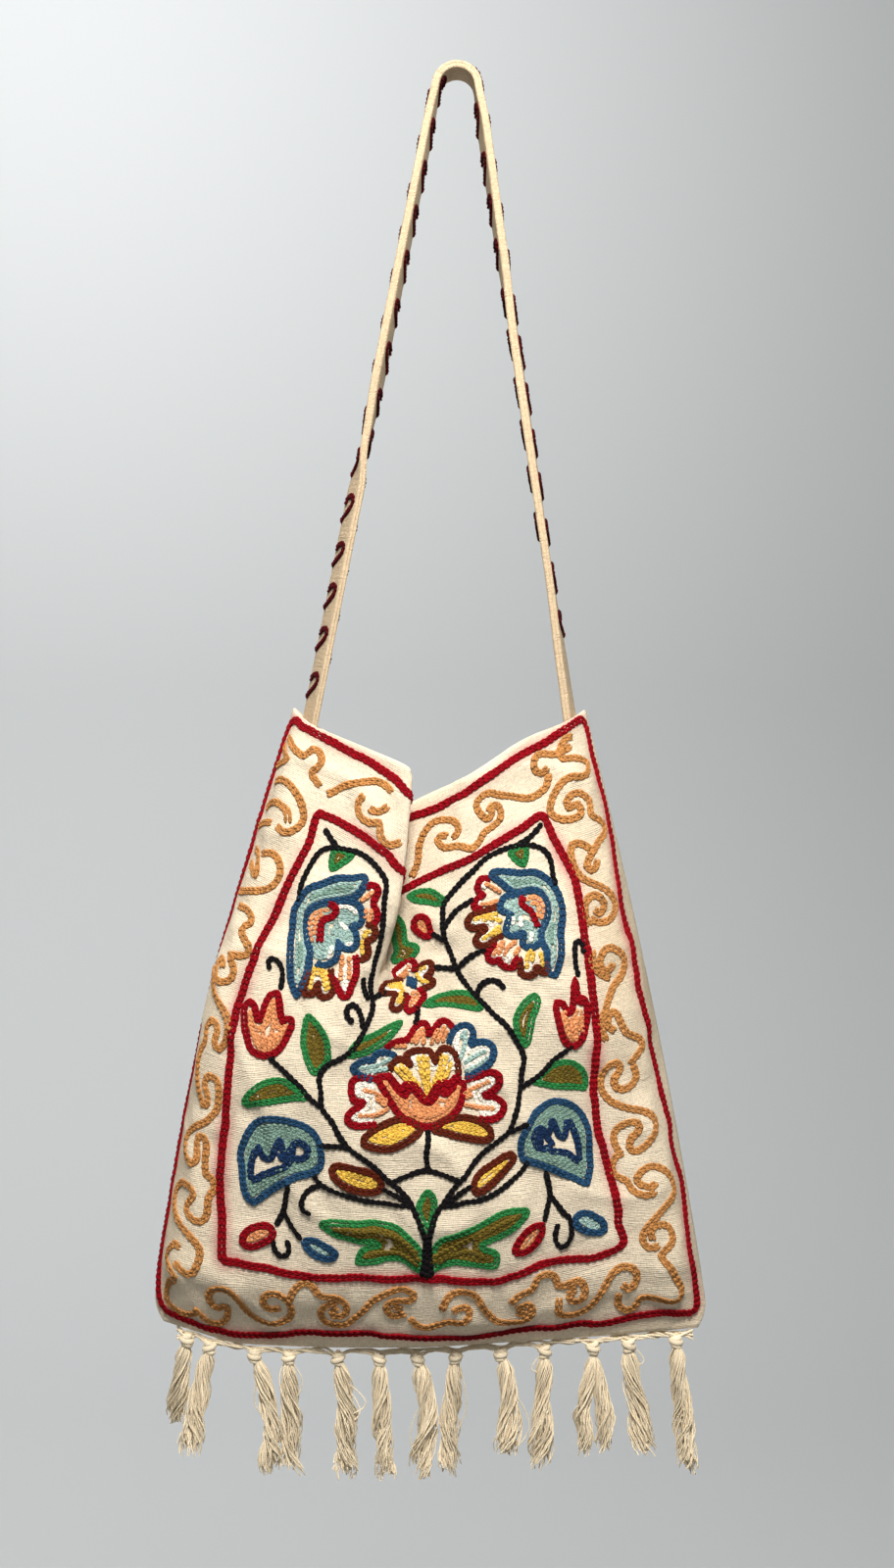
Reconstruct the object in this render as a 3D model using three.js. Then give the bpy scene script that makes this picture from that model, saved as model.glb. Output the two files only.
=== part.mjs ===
// Embroidered cotton shoulder bag, hanging by its strap with its mouth gathered and its front pleated.
// Millimetres, +Z up. The origin is the underside of the strap at the top of its loop, where the bag hangs.
// The embroidered front faces -Y, so +X is to the right of someone who looks at it.
import * as THREE from "three";

// Cloth as it was cut and sewn
const PANEL_WIDTH = 344;
const PANEL_HEIGHT = 376;
const CLOTH_THICKNESS = 1.6;
const BORDER_WIDTH = 51;
const HALF_WIDTH = PANEL_WIDTH / 2;

// How the hung cloth behaves
const BORDER_CHORD = 47.5;
const BORDER_BOW = 13;
const FOLD_SOFTNESS = 20;
const BOTTOM_ROUNDING = 40;
const CORNER_HEIGHT = 18;
const CORNER_PULL = 7;

// Clearance between pieces that are sewn or tied to each other
const SEAM_GAP = 0.3;
const SEAM_SETBACK = CLOTH_THICKNESS / 2 + SEAM_GAP / 2;

// Grid of the cloth walls
const FRONT_STEPS = { across: 44, up: 23 };
const BACK_STEPS = { across: 26, up: 15 };
const SOFTENING_STEPS = 5;

// Strap: a folded band over a round support, with each leg turned a little towards the front at its foot
const STRAP_WIDTH = 20;
const STRAP_THICKNESS = 4;
const STRAP_CHAMFER = 1.2;
const SUPPORT_RADIUS = 11;
const STRAP_LEFT_FOOT = { x: -91, z: -403, twist: THREE.MathUtils.degToRad(20) };
const STRAP_RIGHT_FOOT = { x: 70.6, z: -405, twist: THREE.MathUtils.degToRad(6) };
const STRAP_TWIST_START = 0.3;
const STRAP_TWIST_END = 0.65;
const STRAP_LEG_STEPS = 16;
const STRAP_ARC_STEPS = 12;

// Fringe heading and tassels
const HEADING_HALF_HEIGHT = 0.9;
const HEADING_HALF_DEPTH = 2.4;
const HEADING_START = -163;
const HEADING_END = 169;
const HEADING_STEPS = 48;
const HEADING_SIDES = 6;
const SEAM_TO_HEADING = 0.6;
const KNOT_RADIUS = 4.3;
const KNOT_HEIGHT = 6.8;
const KNOT_SEAT = 2.5;
const NECK_RADIUS = 3.1;
const NECK_DROP = 7.6;
const SHOULDER_DROP = 14;
const SHOULDER_SHARE = 0.85;
const SWAY_CURVE = 1.5;
const TASSEL_SIDES = 8;

// Colours and finish
const COTTON = { color: 0xf0e0c4, roughness: 0.9, metalness: 0 };
const STRAP_COTTON = { color: 0xe1cdaa, roughness: 0.9, metalness: 0 };
const FRINGE_COTTON = { color: 0xe6d2aa, roughness: 0.85, metalness: 0 };

// Side seams from the mouth to the bottom corner, with the bow of the hung edge
const LEFT_SEAM = { topX: -99, topZ: -389, bottomX: -186, bottomZ: -763, bow: -10 };
const RIGHT_SEAM = { topX: 78, topZ: -390, bottomX: 154, bottomZ: -767, bow: 5 };

// Sections across a hung panel, from the mouth to the bottom seam. height is measured up the flat cloth.
// leftIn/leftDrop and rightIn/rightDrop place the fold at the inner edge of each border from its seam.
// lip, turn and crest are the three folds between: where each lies across the flat cloth, and its hung place.
const SECTION_COLUMNS = [
  "height", "leftIn", "leftDrop",
  "lipFlat", "lipX", "lipY", "lipZ",
  "turnFlat", "turnX", "turnY", "turnZ",
  "crestFlat", "crestX", "crestY", "crestZ",
  "rightIn", "rightDrop",
];
const FRONT_SECTIONS = [
  [376, 33, 20, -66, -21, -51, -428, -6, -70, -1, -466, 80, 8, -32, -430, 37, 17],
  [324, 34, 16, -54, -24, -53, -485, -12, -61, -14, -509, 72, 13, -42, -475, 38, 13],
  [265, 28, 16, -44, -34, -53, -533, -10, -43, -24, -547, 66, 20, -48, -523, 32, 17],
  [205, 21, 11, -60, -69, -54, -573, 0, -24, -39, -577, 62, 27, -50, -574, 33, 14],
  [130, 30, 7, -60, -74, -52, -646, 0, -16, -48, -650, 60, 35, -46, -645, 41, 9],
  [51, 39, 8, -60, -76, -35, -728, 0, -18, -33, -729, 60, 40, -31, -725, 42, -3],
  [18, 43, 12, -60, -78, -15, -762, 0, -17, -15, -763, 60, 43, -14, -759, 44, 2],
  [0, 44, 14, -60, -79, 0, -779, 0, -18, 0, -779, 60, 43, 0, -775, 44, 4],
];
const BACK_SECTIONS = [
  [376, 36, 22, -62, -46, 29, -438, 0, -16, 10, -466, 62, 18, 30, -442, 38, 20],
  [265, 33, 16, -60, -58, 32, -527, 0, -16, 22, -540, 62, 26, 32, -530, 34, 16],
  [130, 40, 9, -60, -74, 29, -644, 0, -16, 29, -649, 60, 36, 29, -643, 42, 8],
  [51, 42, 9, -60, -77, 20, -723, 0, -18, 21, -726, 60, 41, 20, -722, 44, 2],
  [18, 43, 12, -60, -78, 9, -762, 0, -17, 9, -763, 60, 43, 9, -759, 44, 2],
  [0, 44, 14, -60, -79, 0, -779, 0, -18, 0, -779, 60, 43, 0, -775, 44, 4],
];
const FRONT = { sections: namedRows(FRONT_SECTIONS, SECTION_COLUMNS), side: -1, steps: FRONT_STEPS };
const BACK = { sections: namedRows(BACK_SECTIONS, SECTION_COLUMNS), side: 1, steps: BACK_STEPS };

// Tassels from left to right: place across the flat cloth, length, sway of the tip in x and y, how far the
// middle bulges in x, and the skirt's half width below the knot and at the tip.
const TASSEL_COLUMNS = ["flat", "length", "swayX", "swayY", "bulge", "girth", "splay"];
const TASSELS = namedRows([
  [-156, 61, -8, 10, -2, 5.2, 6.4],
  [-140, 69, -12, -8, -2, 5.4, 7.2],
  [-109, 80, 8, -3, 7, 5.2, 5.8],
  [-86, 79, 2, 2, 0, 5.6, 7.8],
  [-54, 78, 4, -3, 4, 5.3, 7.6],
  [-29, 80, 5, 2, 0, 5.1, 7.0],
  [-6, 77, 2, -2, 5, 6.0, 8.6],
  [17, 80, -3, 2, -2, 5.2, 6.2],
  [44, 68, 2, -3, 5, 5.8, 8.4],
  [71, 78, -3, 1, 0, 5.5, 7.4],
  [101, 71, 1, -2, 0, 8.4, 11.5],
  [124, 75, 13, 2, 0, 5.8, 8.4],
  [157, 89, 9, -1, 1, 5.2, 7.8],
], TASSEL_COLUMNS);

// Outer form of a knot as shares of its height and half width, and of a skirt below it:
// shares of the tassel's length, and how much of the splay is reached there.
const KNOT_PROFILE = namedRows([
  [0, 0.45],
  [0.22, 0.85],
  [0.55, 1],
  [0.9, 0.85],
], ["down", "width"]);
const SKIRT_PROFILE = namedRows([
  [0.4, 0],
  [0.75, 0.4],
  [1, 1],
], ["down", "splayed"]);

// Turns rows of numbers into objects with the column names.
function namedRows(rows, columns) {
  return rows.map((row) => Object.fromEntries(columns.map((name, index) => [name, row[index]])));
}

// A smooth section at any height of the flat cloth, between the rows of the table.
function sectionAt(sections, height) {
  const last = sections.length - 1;
  let index = 0;
  while (index < last - 1 && height < sections[index + 1].height) index += 1;
  const from = sections[index];
  const to = sections[index + 1];
  const before = sections[Math.max(index - 1, 0)];
  const after = sections[Math.min(index + 2, last)];
  const span = to.height - from.height;
  const t = (height - from.height) / span;
  const section = {};
  for (const name of SECTION_COLUMNS) {
    const slopeFrom = ((to[name] - before[name]) / (to.height - before.height)) * span;
    const slopeTo = ((after[name] - from[name]) / (after.height - from.height)) * span;
    section[name] =
      (2 * t ** 3 - 3 * t ** 2 + 1) * from[name] +
      (t ** 3 - 2 * t ** 2 + t) * slopeFrom +
      (3 * t ** 2 - 2 * t ** 3) * to[name] +
      (t ** 3 - t ** 2) * slopeTo;
  }
  return section;
}

// The hung place of a side seam. The bottom corner is rounded, so the seam pulls in over its last stretch.
function seamPoint(seam, height) {
  const down = 1 - height / PANEL_HEIGHT;
  const pull = CORNER_PULL * Math.max(0, 1 - height / CORNER_HEIGHT) ** 2;
  const straight = THREE.MathUtils.lerp(seam.topX, seam.bottomX, down);
  const x = straight + 4 * seam.bow * down * (1 - down) - Math.sign(seam.bottomX) * pull;
  return new THREE.Vector3(x, 0, THREE.MathUtils.lerp(seam.topZ, seam.bottomZ, down));
}

// The fold at the inner edge of a border. The border keeps its width: what it lacks across, it has in depth.
function borderFold(seam, inward, drop, side, fullness) {
  const depth = Math.sqrt(Math.max(BORDER_CHORD ** 2 - inward ** 2 - drop ** 2, 0)) * fullness;
  return new THREE.Vector3(seam.x - Math.sign(seam.x) * inward, side * depth, seam.z - drop);
}

// The middle of a border, bowed out from the straight line between its seam and its fold.
function borderMiddle(seam, fold, side, fullness) {
  const middle = seam.clone().lerp(fold, 0.5);
  const across = Math.abs(fold.x - seam.x);
  const deep = Math.abs(fold.y - seam.y);
  const bow = (BORDER_BOW * fullness) / Math.hypot(across, deep);
  middle.x += Math.sign(seam.x) * deep * bow;
  middle.y += side * across * bow;
  return middle;
}

// The fold line stations of one section: where each lies across the flat cloth, and its hung place.
function sectionStations(panel, height) {
  const section = sectionAt(panel.sections, height);
  const fullness = Math.min(1, height / BOTTOM_ROUNDING);
  const left = seamPoint(LEFT_SEAM, height);
  const right = seamPoint(RIGHT_SEAM, height);
  const leftFold = borderFold(left, section.leftIn, section.leftDrop, panel.side, fullness);
  const rightFold = borderFold(right, section.rightIn, section.rightDrop, panel.side, fullness);
  return [
    { flat: -HALF_WIDTH, place: left },
    { flat: -HALF_WIDTH + BORDER_WIDTH / 2, place: borderMiddle(left, leftFold, panel.side, fullness) },
    { flat: -HALF_WIDTH + BORDER_WIDTH, place: leftFold },
    { flat: section.lipFlat, place: new THREE.Vector3(section.lipX, section.lipY, section.lipZ) },
    { flat: section.turnFlat, place: new THREE.Vector3(section.turnX, section.turnY, section.turnZ) },
    { flat: section.crestFlat, place: new THREE.Vector3(section.crestX, section.crestY, section.crestZ) },
    { flat: HALF_WIDTH - BORDER_WIDTH, place: rightFold },
    { flat: HALF_WIDTH - BORDER_WIDTH / 2, place: borderMiddle(right, rightFold, panel.side, fullness) },
    { flat: HALF_WIDTH, place: right },
  ];
}

// A point on the straight lines between stations. Past a seam the line goes on by reflection.
function onStations(stations, flat) {
  const first = stations[0];
  const last = stations[stations.length - 1];
  for (const end of [first, last]) {
    if (Math.abs(flat) > HALF_WIDTH && Math.sign(flat) === Math.sign(end.flat)) {
      const mirrored = onStations(stations, 2 * end.flat - flat);
      return end.place.clone().multiplyScalar(2).sub(mirrored);
    }
  }
  let index = 0;
  while (index < stations.length - 2 && flat > stations[index + 1].flat) index += 1;
  const from = stations[index];
  const to = stations[index + 1];
  return from.place.clone().lerp(to.place, (flat - from.flat) / (to.flat - from.flat));
}

// The hung place of a point of the flat cloth: the section's lines, rounded off as cloth bends.
function clothPoint(stations, flat) {
  const sum = new THREE.Vector3();
  let total = 0;
  for (let step = -SOFTENING_STEPS; step <= SOFTENING_STEPS; step += 1) {
    const weight = 1 + Math.cos((Math.PI * step) / (SOFTENING_STEPS + 1));
    sum.addScaledVector(onStations(stations, flat + (FOLD_SOFTNESS * step) / SOFTENING_STEPS), weight);
    total += weight;
  }
  return sum.divideScalar(total);
}

// The middle surface of a hung panel as rows of points, from the bottom seam to the mouth.
function clothGrid(panel) {
  const { across, up } = panel.steps;
  const grid = [];
  for (let row = 0; row <= up; row += 1) {
    const stations = sectionStations(panel, (PANEL_HEIGHT * row) / up);
    const line = [];
    for (let column = 0; column <= across; column += 1) {
      const point = clothPoint(stations, -HALF_WIDTH + (PANEL_WIDTH * column) / across);
      point.y += panel.side * SEAM_SETBACK;
      line.push(point);
    }
    grid.push(line);
  }
  return grid;
}

// The direction that faces -Y at a grid point, square to the cloth.
function gridNormal(grid, row, column) {
  const lastRow = grid.length - 1;
  const lastColumn = grid[0].length - 1;
  const acrossWay = grid[row][Math.min(column + 1, lastColumn)].clone();
  acrossWay.sub(grid[row][Math.max(column - 1, 0)]);
  const upWay = grid[Math.min(row + 1, lastRow)][column].clone();
  upWay.sub(grid[Math.max(row - 1, 0)][column]);
  return acrossWay.cross(upWay).normalize();
}

// A closed mesh from points and triangles.
function closedGeometry(points, triangles) {
  const geometry = new THREE.BufferGeometry();
  geometry.setFromPoints(points);
  geometry.setIndex(triangles);
  geometry.computeVertexNormals();
  return geometry;
}

// A cloth wall: the hung surface with the cloth's thickness, closed round its four edges.
function panelGeometry(panel) {
  const grid = clothGrid(panel);
  const rows = grid.length;
  const columns = grid[0].length;
  const layer = rows * columns;
  const near = [];
  const far = [];
  for (let row = 0; row < rows; row += 1) {
    for (let column = 0; column < columns; column += 1) {
      const offset = gridNormal(grid, row, column).multiplyScalar(CLOTH_THICKNESS / 2);
      near.push(grid[row][column].clone().add(offset));
      far.push(grid[row][column].clone().sub(offset));
    }
  }
  const at = (row, column) => row * columns + column;
  const triangles = [];
  for (let row = 0; row < rows - 1; row += 1) {
    for (let column = 0; column < columns - 1; column += 1) {
      const a = at(row, column);
      const b = at(row, column + 1);
      const c = at(row + 1, column + 1);
      const d = at(row + 1, column);
      triangles.push(a, b, c, a, c, d);
      triangles.push(layer + a, layer + c, layer + b, layer + a, layer + d, layer + c);
    }
  }
  const edge = [];
  for (let column = 0; column < columns - 1; column += 1) edge.push(at(0, column));
  for (let row = 0; row < rows - 1; row += 1) edge.push(at(row, columns - 1));
  for (let column = columns - 1; column > 0; column -= 1) edge.push(at(rows - 1, column));
  for (let row = rows - 1; row > 0; row -= 1) edge.push(at(row, 0));
  edge.forEach((from, index) => {
    const to = edge[(index + 1) % edge.length];
    triangles.push(to, from, layer + from, to, layer + from, layer + to);
  });
  return closedGeometry([...near, ...far], triangles);
}

// A closed solid through rings of points, each ring counter-clockwise seen from the end that it starts at.
function loftGeometry(rings) {
  const sides = rings[0].length;
  const points = rings.flat();
  const triangles = [];
  for (let ring = 0; ring < rings.length - 1; ring += 1) {
    for (let side = 0; side < sides; side += 1) {
      const a = ring * sides + side;
      const b = ring * sides + ((side + 1) % sides);
      triangles.push(a, a + sides, b, b, a + sides, b + sides);
    }
  }
  const lastRing = (rings.length - 1) * sides;
  for (let side = 1; side < sides - 1; side += 1) {
    triangles.push(0, side, side + 1);
    triangles.push(lastRing, lastRing + side + 1, lastRing + side);
  }
  return closedGeometry(points, triangles);
}

// Where a straight strap leg leaves the round of its loop: the angle from straight up.
function leavingAngle(foot, radius, centreZ) {
  const away = Math.hypot(foot.x, foot.z - centreZ);
  const toFoot = Math.atan2(Math.abs(foot.x), foot.z - centreZ);
  return toFoot - Math.acos(radius / away);
}

// The strap's middle line from the left foot, over the loop, to the right foot, with the turn at each point.
function strapLine() {
  const radius = SUPPORT_RADIUS + STRAP_THICKNESS / 2;
  const centreZ = -SUPPORT_RADIUS;
  const onLoop = (angle) =>
    new THREE.Vector3(Math.sin(angle) * radius, 0, centreZ + Math.cos(angle) * radius);
  const leftAngle = -leavingAngle(STRAP_LEFT_FOOT, radius, centreZ);
  const rightAngle = leavingAngle(STRAP_RIGHT_FOOT, radius, centreZ);
  const line = [];
  const addLeg = (foot, angle, fromFoot) => {
    const footPlace = new THREE.Vector3(foot.x, 0, foot.z);
    for (let step = 0; step < STRAP_LEG_STEPS; step += 1) {
      const down = fromFoot ? 1 - step / STRAP_LEG_STEPS : (step + 1) / STRAP_LEG_STEPS;
      const place = onLoop(angle).lerp(footPlace, down);
      const turned = THREE.MathUtils.smoothstep(down, STRAP_TWIST_START, STRAP_TWIST_END);
      line.push({ place, turn: foot.twist * turned });
    }
  };
  addLeg(STRAP_LEFT_FOOT, leftAngle, true);
  for (let step = 0; step <= STRAP_ARC_STEPS; step += 1) {
    const angle = THREE.MathUtils.lerp(leftAngle, rightAngle, step / STRAP_ARC_STEPS);
    line.push({ place: onLoop(angle), turn: 0 });
  }
  addLeg(STRAP_RIGHT_FOOT, rightAngle, false);
  return line;
}

// The strap's section: a band with its long edges chamfered, width first and thickness second.
function strapOutline() {
  const halfWidth = STRAP_WIDTH / 2;
  const halfThickness = STRAP_THICKNESS / 2;
  const corners = [];
  for (const [w, t] of [[1, 1], [-1, 1], [-1, -1], [1, -1]]) {
    const onWide = [w * (halfWidth - STRAP_CHAMFER), t * halfThickness];
    const onEdge = [w * halfWidth, t * (halfThickness - STRAP_CHAMFER)];
    corners.push(...(w * t > 0 ? [onEdge, onWide] : [onWide, onEdge]));
  }
  return corners;
}

function strapGeometry() {
  const line = strapLine();
  const outline = strapOutline();
  const rings = line.map(({ place, turn }, index) => {
    const from = line[Math.max(index - 1, 0)].place;
    const to = line[Math.min(index + 1, line.length - 1)].place;
    const along = to.clone().sub(from).normalize();
    const widthWay = new THREE.Vector3(0, 1, 0).applyAxisAngle(along, turn);
    const thicknessWay = widthWay.clone().cross(along);
    return outline.map(([w, t]) =>
      place.clone().addScaledVector(widthWay, w).addScaledVector(thicknessWay, t));
  });
  return loftGeometry(rings);
}

// A point of the bottom seam, between the two panels.
function bottomSeamPoint(flat) {
  return clothPoint(sectionStations(FRONT, 0), flat);
}

function headingGeometry() {
  const rings = [];
  for (let step = 0; step <= HEADING_STEPS; step += 1) {
    const flat = THREE.MathUtils.lerp(HEADING_START, HEADING_END, step / HEADING_STEPS);
    const centre = bottomSeamPoint(flat);
    centre.z -= SEAM_TO_HEADING + HEADING_HALF_HEIGHT;
    const ring = [];
    for (let side = 0; side < HEADING_SIDES; side += 1) {
      const angle = (2 * Math.PI * (side + 0.5)) / HEADING_SIDES;
      const y = Math.cos(angle) * HEADING_HALF_DEPTH;
      const z = -Math.sin(angle) * HEADING_HALF_HEIGHT;
      ring.push(new THREE.Vector3(centre.x, centre.y + y, centre.z + z));
    }
    rings.push(ring);
  }
  return loftGeometry(rings);
}

// Outer form of a tassel from the top of its knot to the tip: how far down, and the half width there.
function tasselProfile(tassel) {
  const { length, girth, splay } = tassel;
  const knot = KNOT_PROFILE.map(({ down, width }) => [KNOT_HEIGHT * down, KNOT_RADIUS * width]);
  const skirt = SKIRT_PROFILE.map(({ down, splayed }) =>
    [length * down, THREE.MathUtils.lerp(girth, splay, splayed)]);
  return [...knot, [NECK_DROP, NECK_RADIUS], [SHOULDER_DROP, girth * SHOULDER_SHARE], ...skirt];
}

function tasselGeometry(tassel) {
  const top = bottomSeamPoint(tassel.flat);
  const seats = [-KNOT_SEAT, 0, KNOT_SEAT].map((aside) => bottomSeamPoint(tassel.flat + aside).z);
  top.z = Math.min(...seats) - SEAM_TO_HEADING - 2 * HEADING_HALF_HEIGHT - SEAM_GAP;
  const rings = tasselProfile(tassel).map(([drop, radius]) => {
    const down = drop / tassel.length;
    const swing = down ** SWAY_CURVE;
    const centreX = top.x + tassel.swayX * swing + tassel.bulge * Math.sin(Math.PI * down);
    const centreY = top.y + tassel.swayY * swing;
    const ring = [];
    for (let side = 0; side < TASSEL_SIDES; side += 1) {
      const angle = (2 * Math.PI * side) / TASSEL_SIDES;
      const x = centreX + Math.cos(angle) * radius;
      const y = centreY + Math.sin(angle) * Math.min(radius, tassel.girth);
      ring.push(new THREE.Vector3(x, y, top.z - drop));
    }
    return ring;
  });
  return loftGeometry(rings);
}

function addPiece(bag, name, geometry, finish) {
  const piece = new THREE.Mesh(geometry, new THREE.MeshStandardMaterial(finish));
  piece.name = name;
  bag.add(piece);
}

const bag = new THREE.Group();
bag.name = "embroidered_shoulder_bag";
addPiece(bag, "front_panel", panelGeometry(FRONT), COTTON);
addPiece(bag, "back_panel", panelGeometry(BACK), COTTON);
addPiece(bag, "strap", strapGeometry(), STRAP_COTTON);
addPiece(bag, "fringe_heading", headingGeometry(), FRINGE_COTTON);
TASSELS.forEach((tassel, index) => {
  addPiece(bag, `tassel_${String(index + 1).padStart(2, "0")}`, tasselGeometry(tassel), FRINGE_COTTON);
});

export default bag;
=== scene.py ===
"""Looks of the embroidered cotton shoulder bag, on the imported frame.

Places on the flat cloth are in millimetres, across from the panel's middle and up from its bottom seam.
Finished meshes are in metres, in the row frame.
"""
import functools
import logging
import math
from dataclasses import dataclass, field
from enum import Enum
from operator import attrgetter
from typing import NamedTuple, Sequence

import bpy
import numpy as np
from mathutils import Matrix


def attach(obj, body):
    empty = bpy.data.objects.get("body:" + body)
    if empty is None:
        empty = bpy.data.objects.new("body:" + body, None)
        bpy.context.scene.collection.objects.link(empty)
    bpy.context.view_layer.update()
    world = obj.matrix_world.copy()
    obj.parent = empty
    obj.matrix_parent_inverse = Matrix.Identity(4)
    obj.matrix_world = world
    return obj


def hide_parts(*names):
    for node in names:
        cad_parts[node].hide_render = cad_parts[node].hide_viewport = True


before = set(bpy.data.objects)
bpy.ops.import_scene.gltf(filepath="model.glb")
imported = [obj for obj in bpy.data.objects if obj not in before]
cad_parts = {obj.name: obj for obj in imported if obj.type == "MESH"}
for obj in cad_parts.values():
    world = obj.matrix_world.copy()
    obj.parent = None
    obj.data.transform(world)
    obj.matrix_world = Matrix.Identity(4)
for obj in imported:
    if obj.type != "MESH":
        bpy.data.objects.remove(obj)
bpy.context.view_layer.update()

LOG = logging.getLogger("shoulder_bag")
MM = 0.001
ROOT = "root"
Path = tuple[tuple[float, float], ...]
Place = tuple[float, float, float]
Colour = tuple[int, int, int]


# Threads and stitches

# Distance between lanes of links, as a share of a link's width
LANE_SHARE = 0.8


class Thread(Enum):
    """Dyed wools of the stitching, as red, green and blue of 255."""

    BLACK = (20, 17, 19)
    CRIMSON = (146, 4, 20)
    TAN = (197, 138, 79)
    GREEN = (46, 130, 68)
    OLIVE = (116, 98, 36)
    BROWN = (98, 36, 18)
    YELLOW = (238, 194, 82)
    PEACH = (228, 154, 102)
    INDIGO = (40, 76, 108)
    TEAL = (166, 194, 186)
    GREY_TEAL = (134, 164, 150)
    NAVY = (26, 50, 86)
    MAROON = (72, 0, 8)
    WHITE = (252, 246, 232)


class StitchSize(NamedTuple):
    """Spacing, width and height of a chain link, its height above other rows, and its lanes side by side.

    Sizes are in millimetres.
    """

    pitch: float
    width: float
    height: float
    lift: float
    lanes: int = 1

    @property
    def spread(self) -> float:
        """Distance between lanes."""
        return self.width * LANE_SHARE

    @property
    def full_width(self) -> float:
        """Width over all lanes."""
        return self.width + self.spread * (self.lanes - 1)


class Gauge(Enum):
    """The yarn weights that the chain stitch is worked in."""

    FRAME = StitchSize(3.8, 3.0, 1.6, 0.5, 2)
    STEM = StitchSize(3.7, 3.8, 1.7, 0.75)
    BOLD = StitchSize(3.6, 2.6, 1.5, 0.7, 2)
    SCROLL = StitchSize(3.8, 2.7, 1.4, 0.4, 2)
    RAY = StitchSize(3.4, 3.1, 1.4, 0.8)
    FINE = StitchSize(3.4, 2.3, 1.2, 0.35)
    INLAY = StitchSize(3.4, 2.6, 1.6, 1.2, 2)
    STRAP = StitchSize(2.6, 4.2, 1.9, 0.45)


class Line(NamedTuple):
    """A row of chain stitch through charted points."""

    thread: Thread
    gauge: Gauge
    points: Path
    closed: bool = False


class Patch(NamedTuple):
    """An outline of chain stitch with rows of filling that follow it inwards, and a thread for what is left.

    The filling leaves the cloth bare inside the hole.
    """

    thread: Thread
    gauge: Gauge
    rows: tuple[Thread, ...]
    rest: Thread
    points: Path
    closed: bool = True
    hole: Path = ()


# Chart of the embroidery

# What is left of the charted size of the crimson and indigo buds
BUD_SHARE = 0.86
OUTER_FRAME: Path = (
    (-166, 12), (-150, 8.5), (-135, 7), (-117, 7), (-105, 7.5), (-92, 9), (-80, 12), (-62, 14), (-40, 14.5),
    (-22, 13.5), (-8, 13), (8, 12), (25, 9.5), (42, 11.5), (60, 13), (73, 11.5), (90, 11.5), (102, 9.5),
    (115, 11), (140, 13), (153, 11.5), (164, 11), (165, 20), (163, 30), (159, 48), (161, 63), (164, 77),
    (165, 90), (161, 104), (159, 114), (161, 127), (160, 138), (158, 150), (156, 170), (153, 184),
    (149, 206), (147.5, 220), (149, 240), (151, 266), (153, 278), (158, 293), (162, 306), (164, 323),
    (165, 350), (167, 366), (164.5, 372.5), (156, 373.5), (148, 373), (137, 371), (125, 368.5), (97, 367.5),
    (70, 366), (58, 365), (47, 366), (36, 367), (-10, 368), (-45, 365), (-69, 363), (-79, 366),
    (-92, 368.5), (-105, 370), (-139, 372.5), (-152, 372.5), (-164, 371), (-168, 362), (-168, 300),
    (-168, 220), (-168, 140), (-169, 60), (-170, 28),
)
INNER_FRAME: Path = (
    (-120, 56), (-116, 54.5), (-100, 53.5), (-85, 52.5), (-68, 52), (-38, 53.5), (-22, 52.5), (-6, 53.5),
    (8, 52.5), (23, 50.5), (40, 48.5), (57, 51.5), (73, 55), (90, 52), (100, 50.5), (110, 52.5), (117, 57),
    (116, 69), (117, 80), (116, 97), (115, 123), (113, 134), (112.5, 155), (114, 173), (117, 200),
    (118.3, 231), (121.5, 262), (124, 279), (125, 289), (122.5, 303), (120, 320), (119, 327), (110, 326),
    (97, 325), (63, 322.5), (33, 322.5), (20, 321), (-20, 320), (-62, 321), (-72, 325), (-85, 327.5),
    (-105, 329), (-117, 328.5), (-122, 327), (-121, 309), (-123.5, 283), (-124, 243), (-123, 207),
    (-121.7, 173), (-122, 157), (-123.5, 120), (-123, 92), (-121, 75),
)
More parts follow.
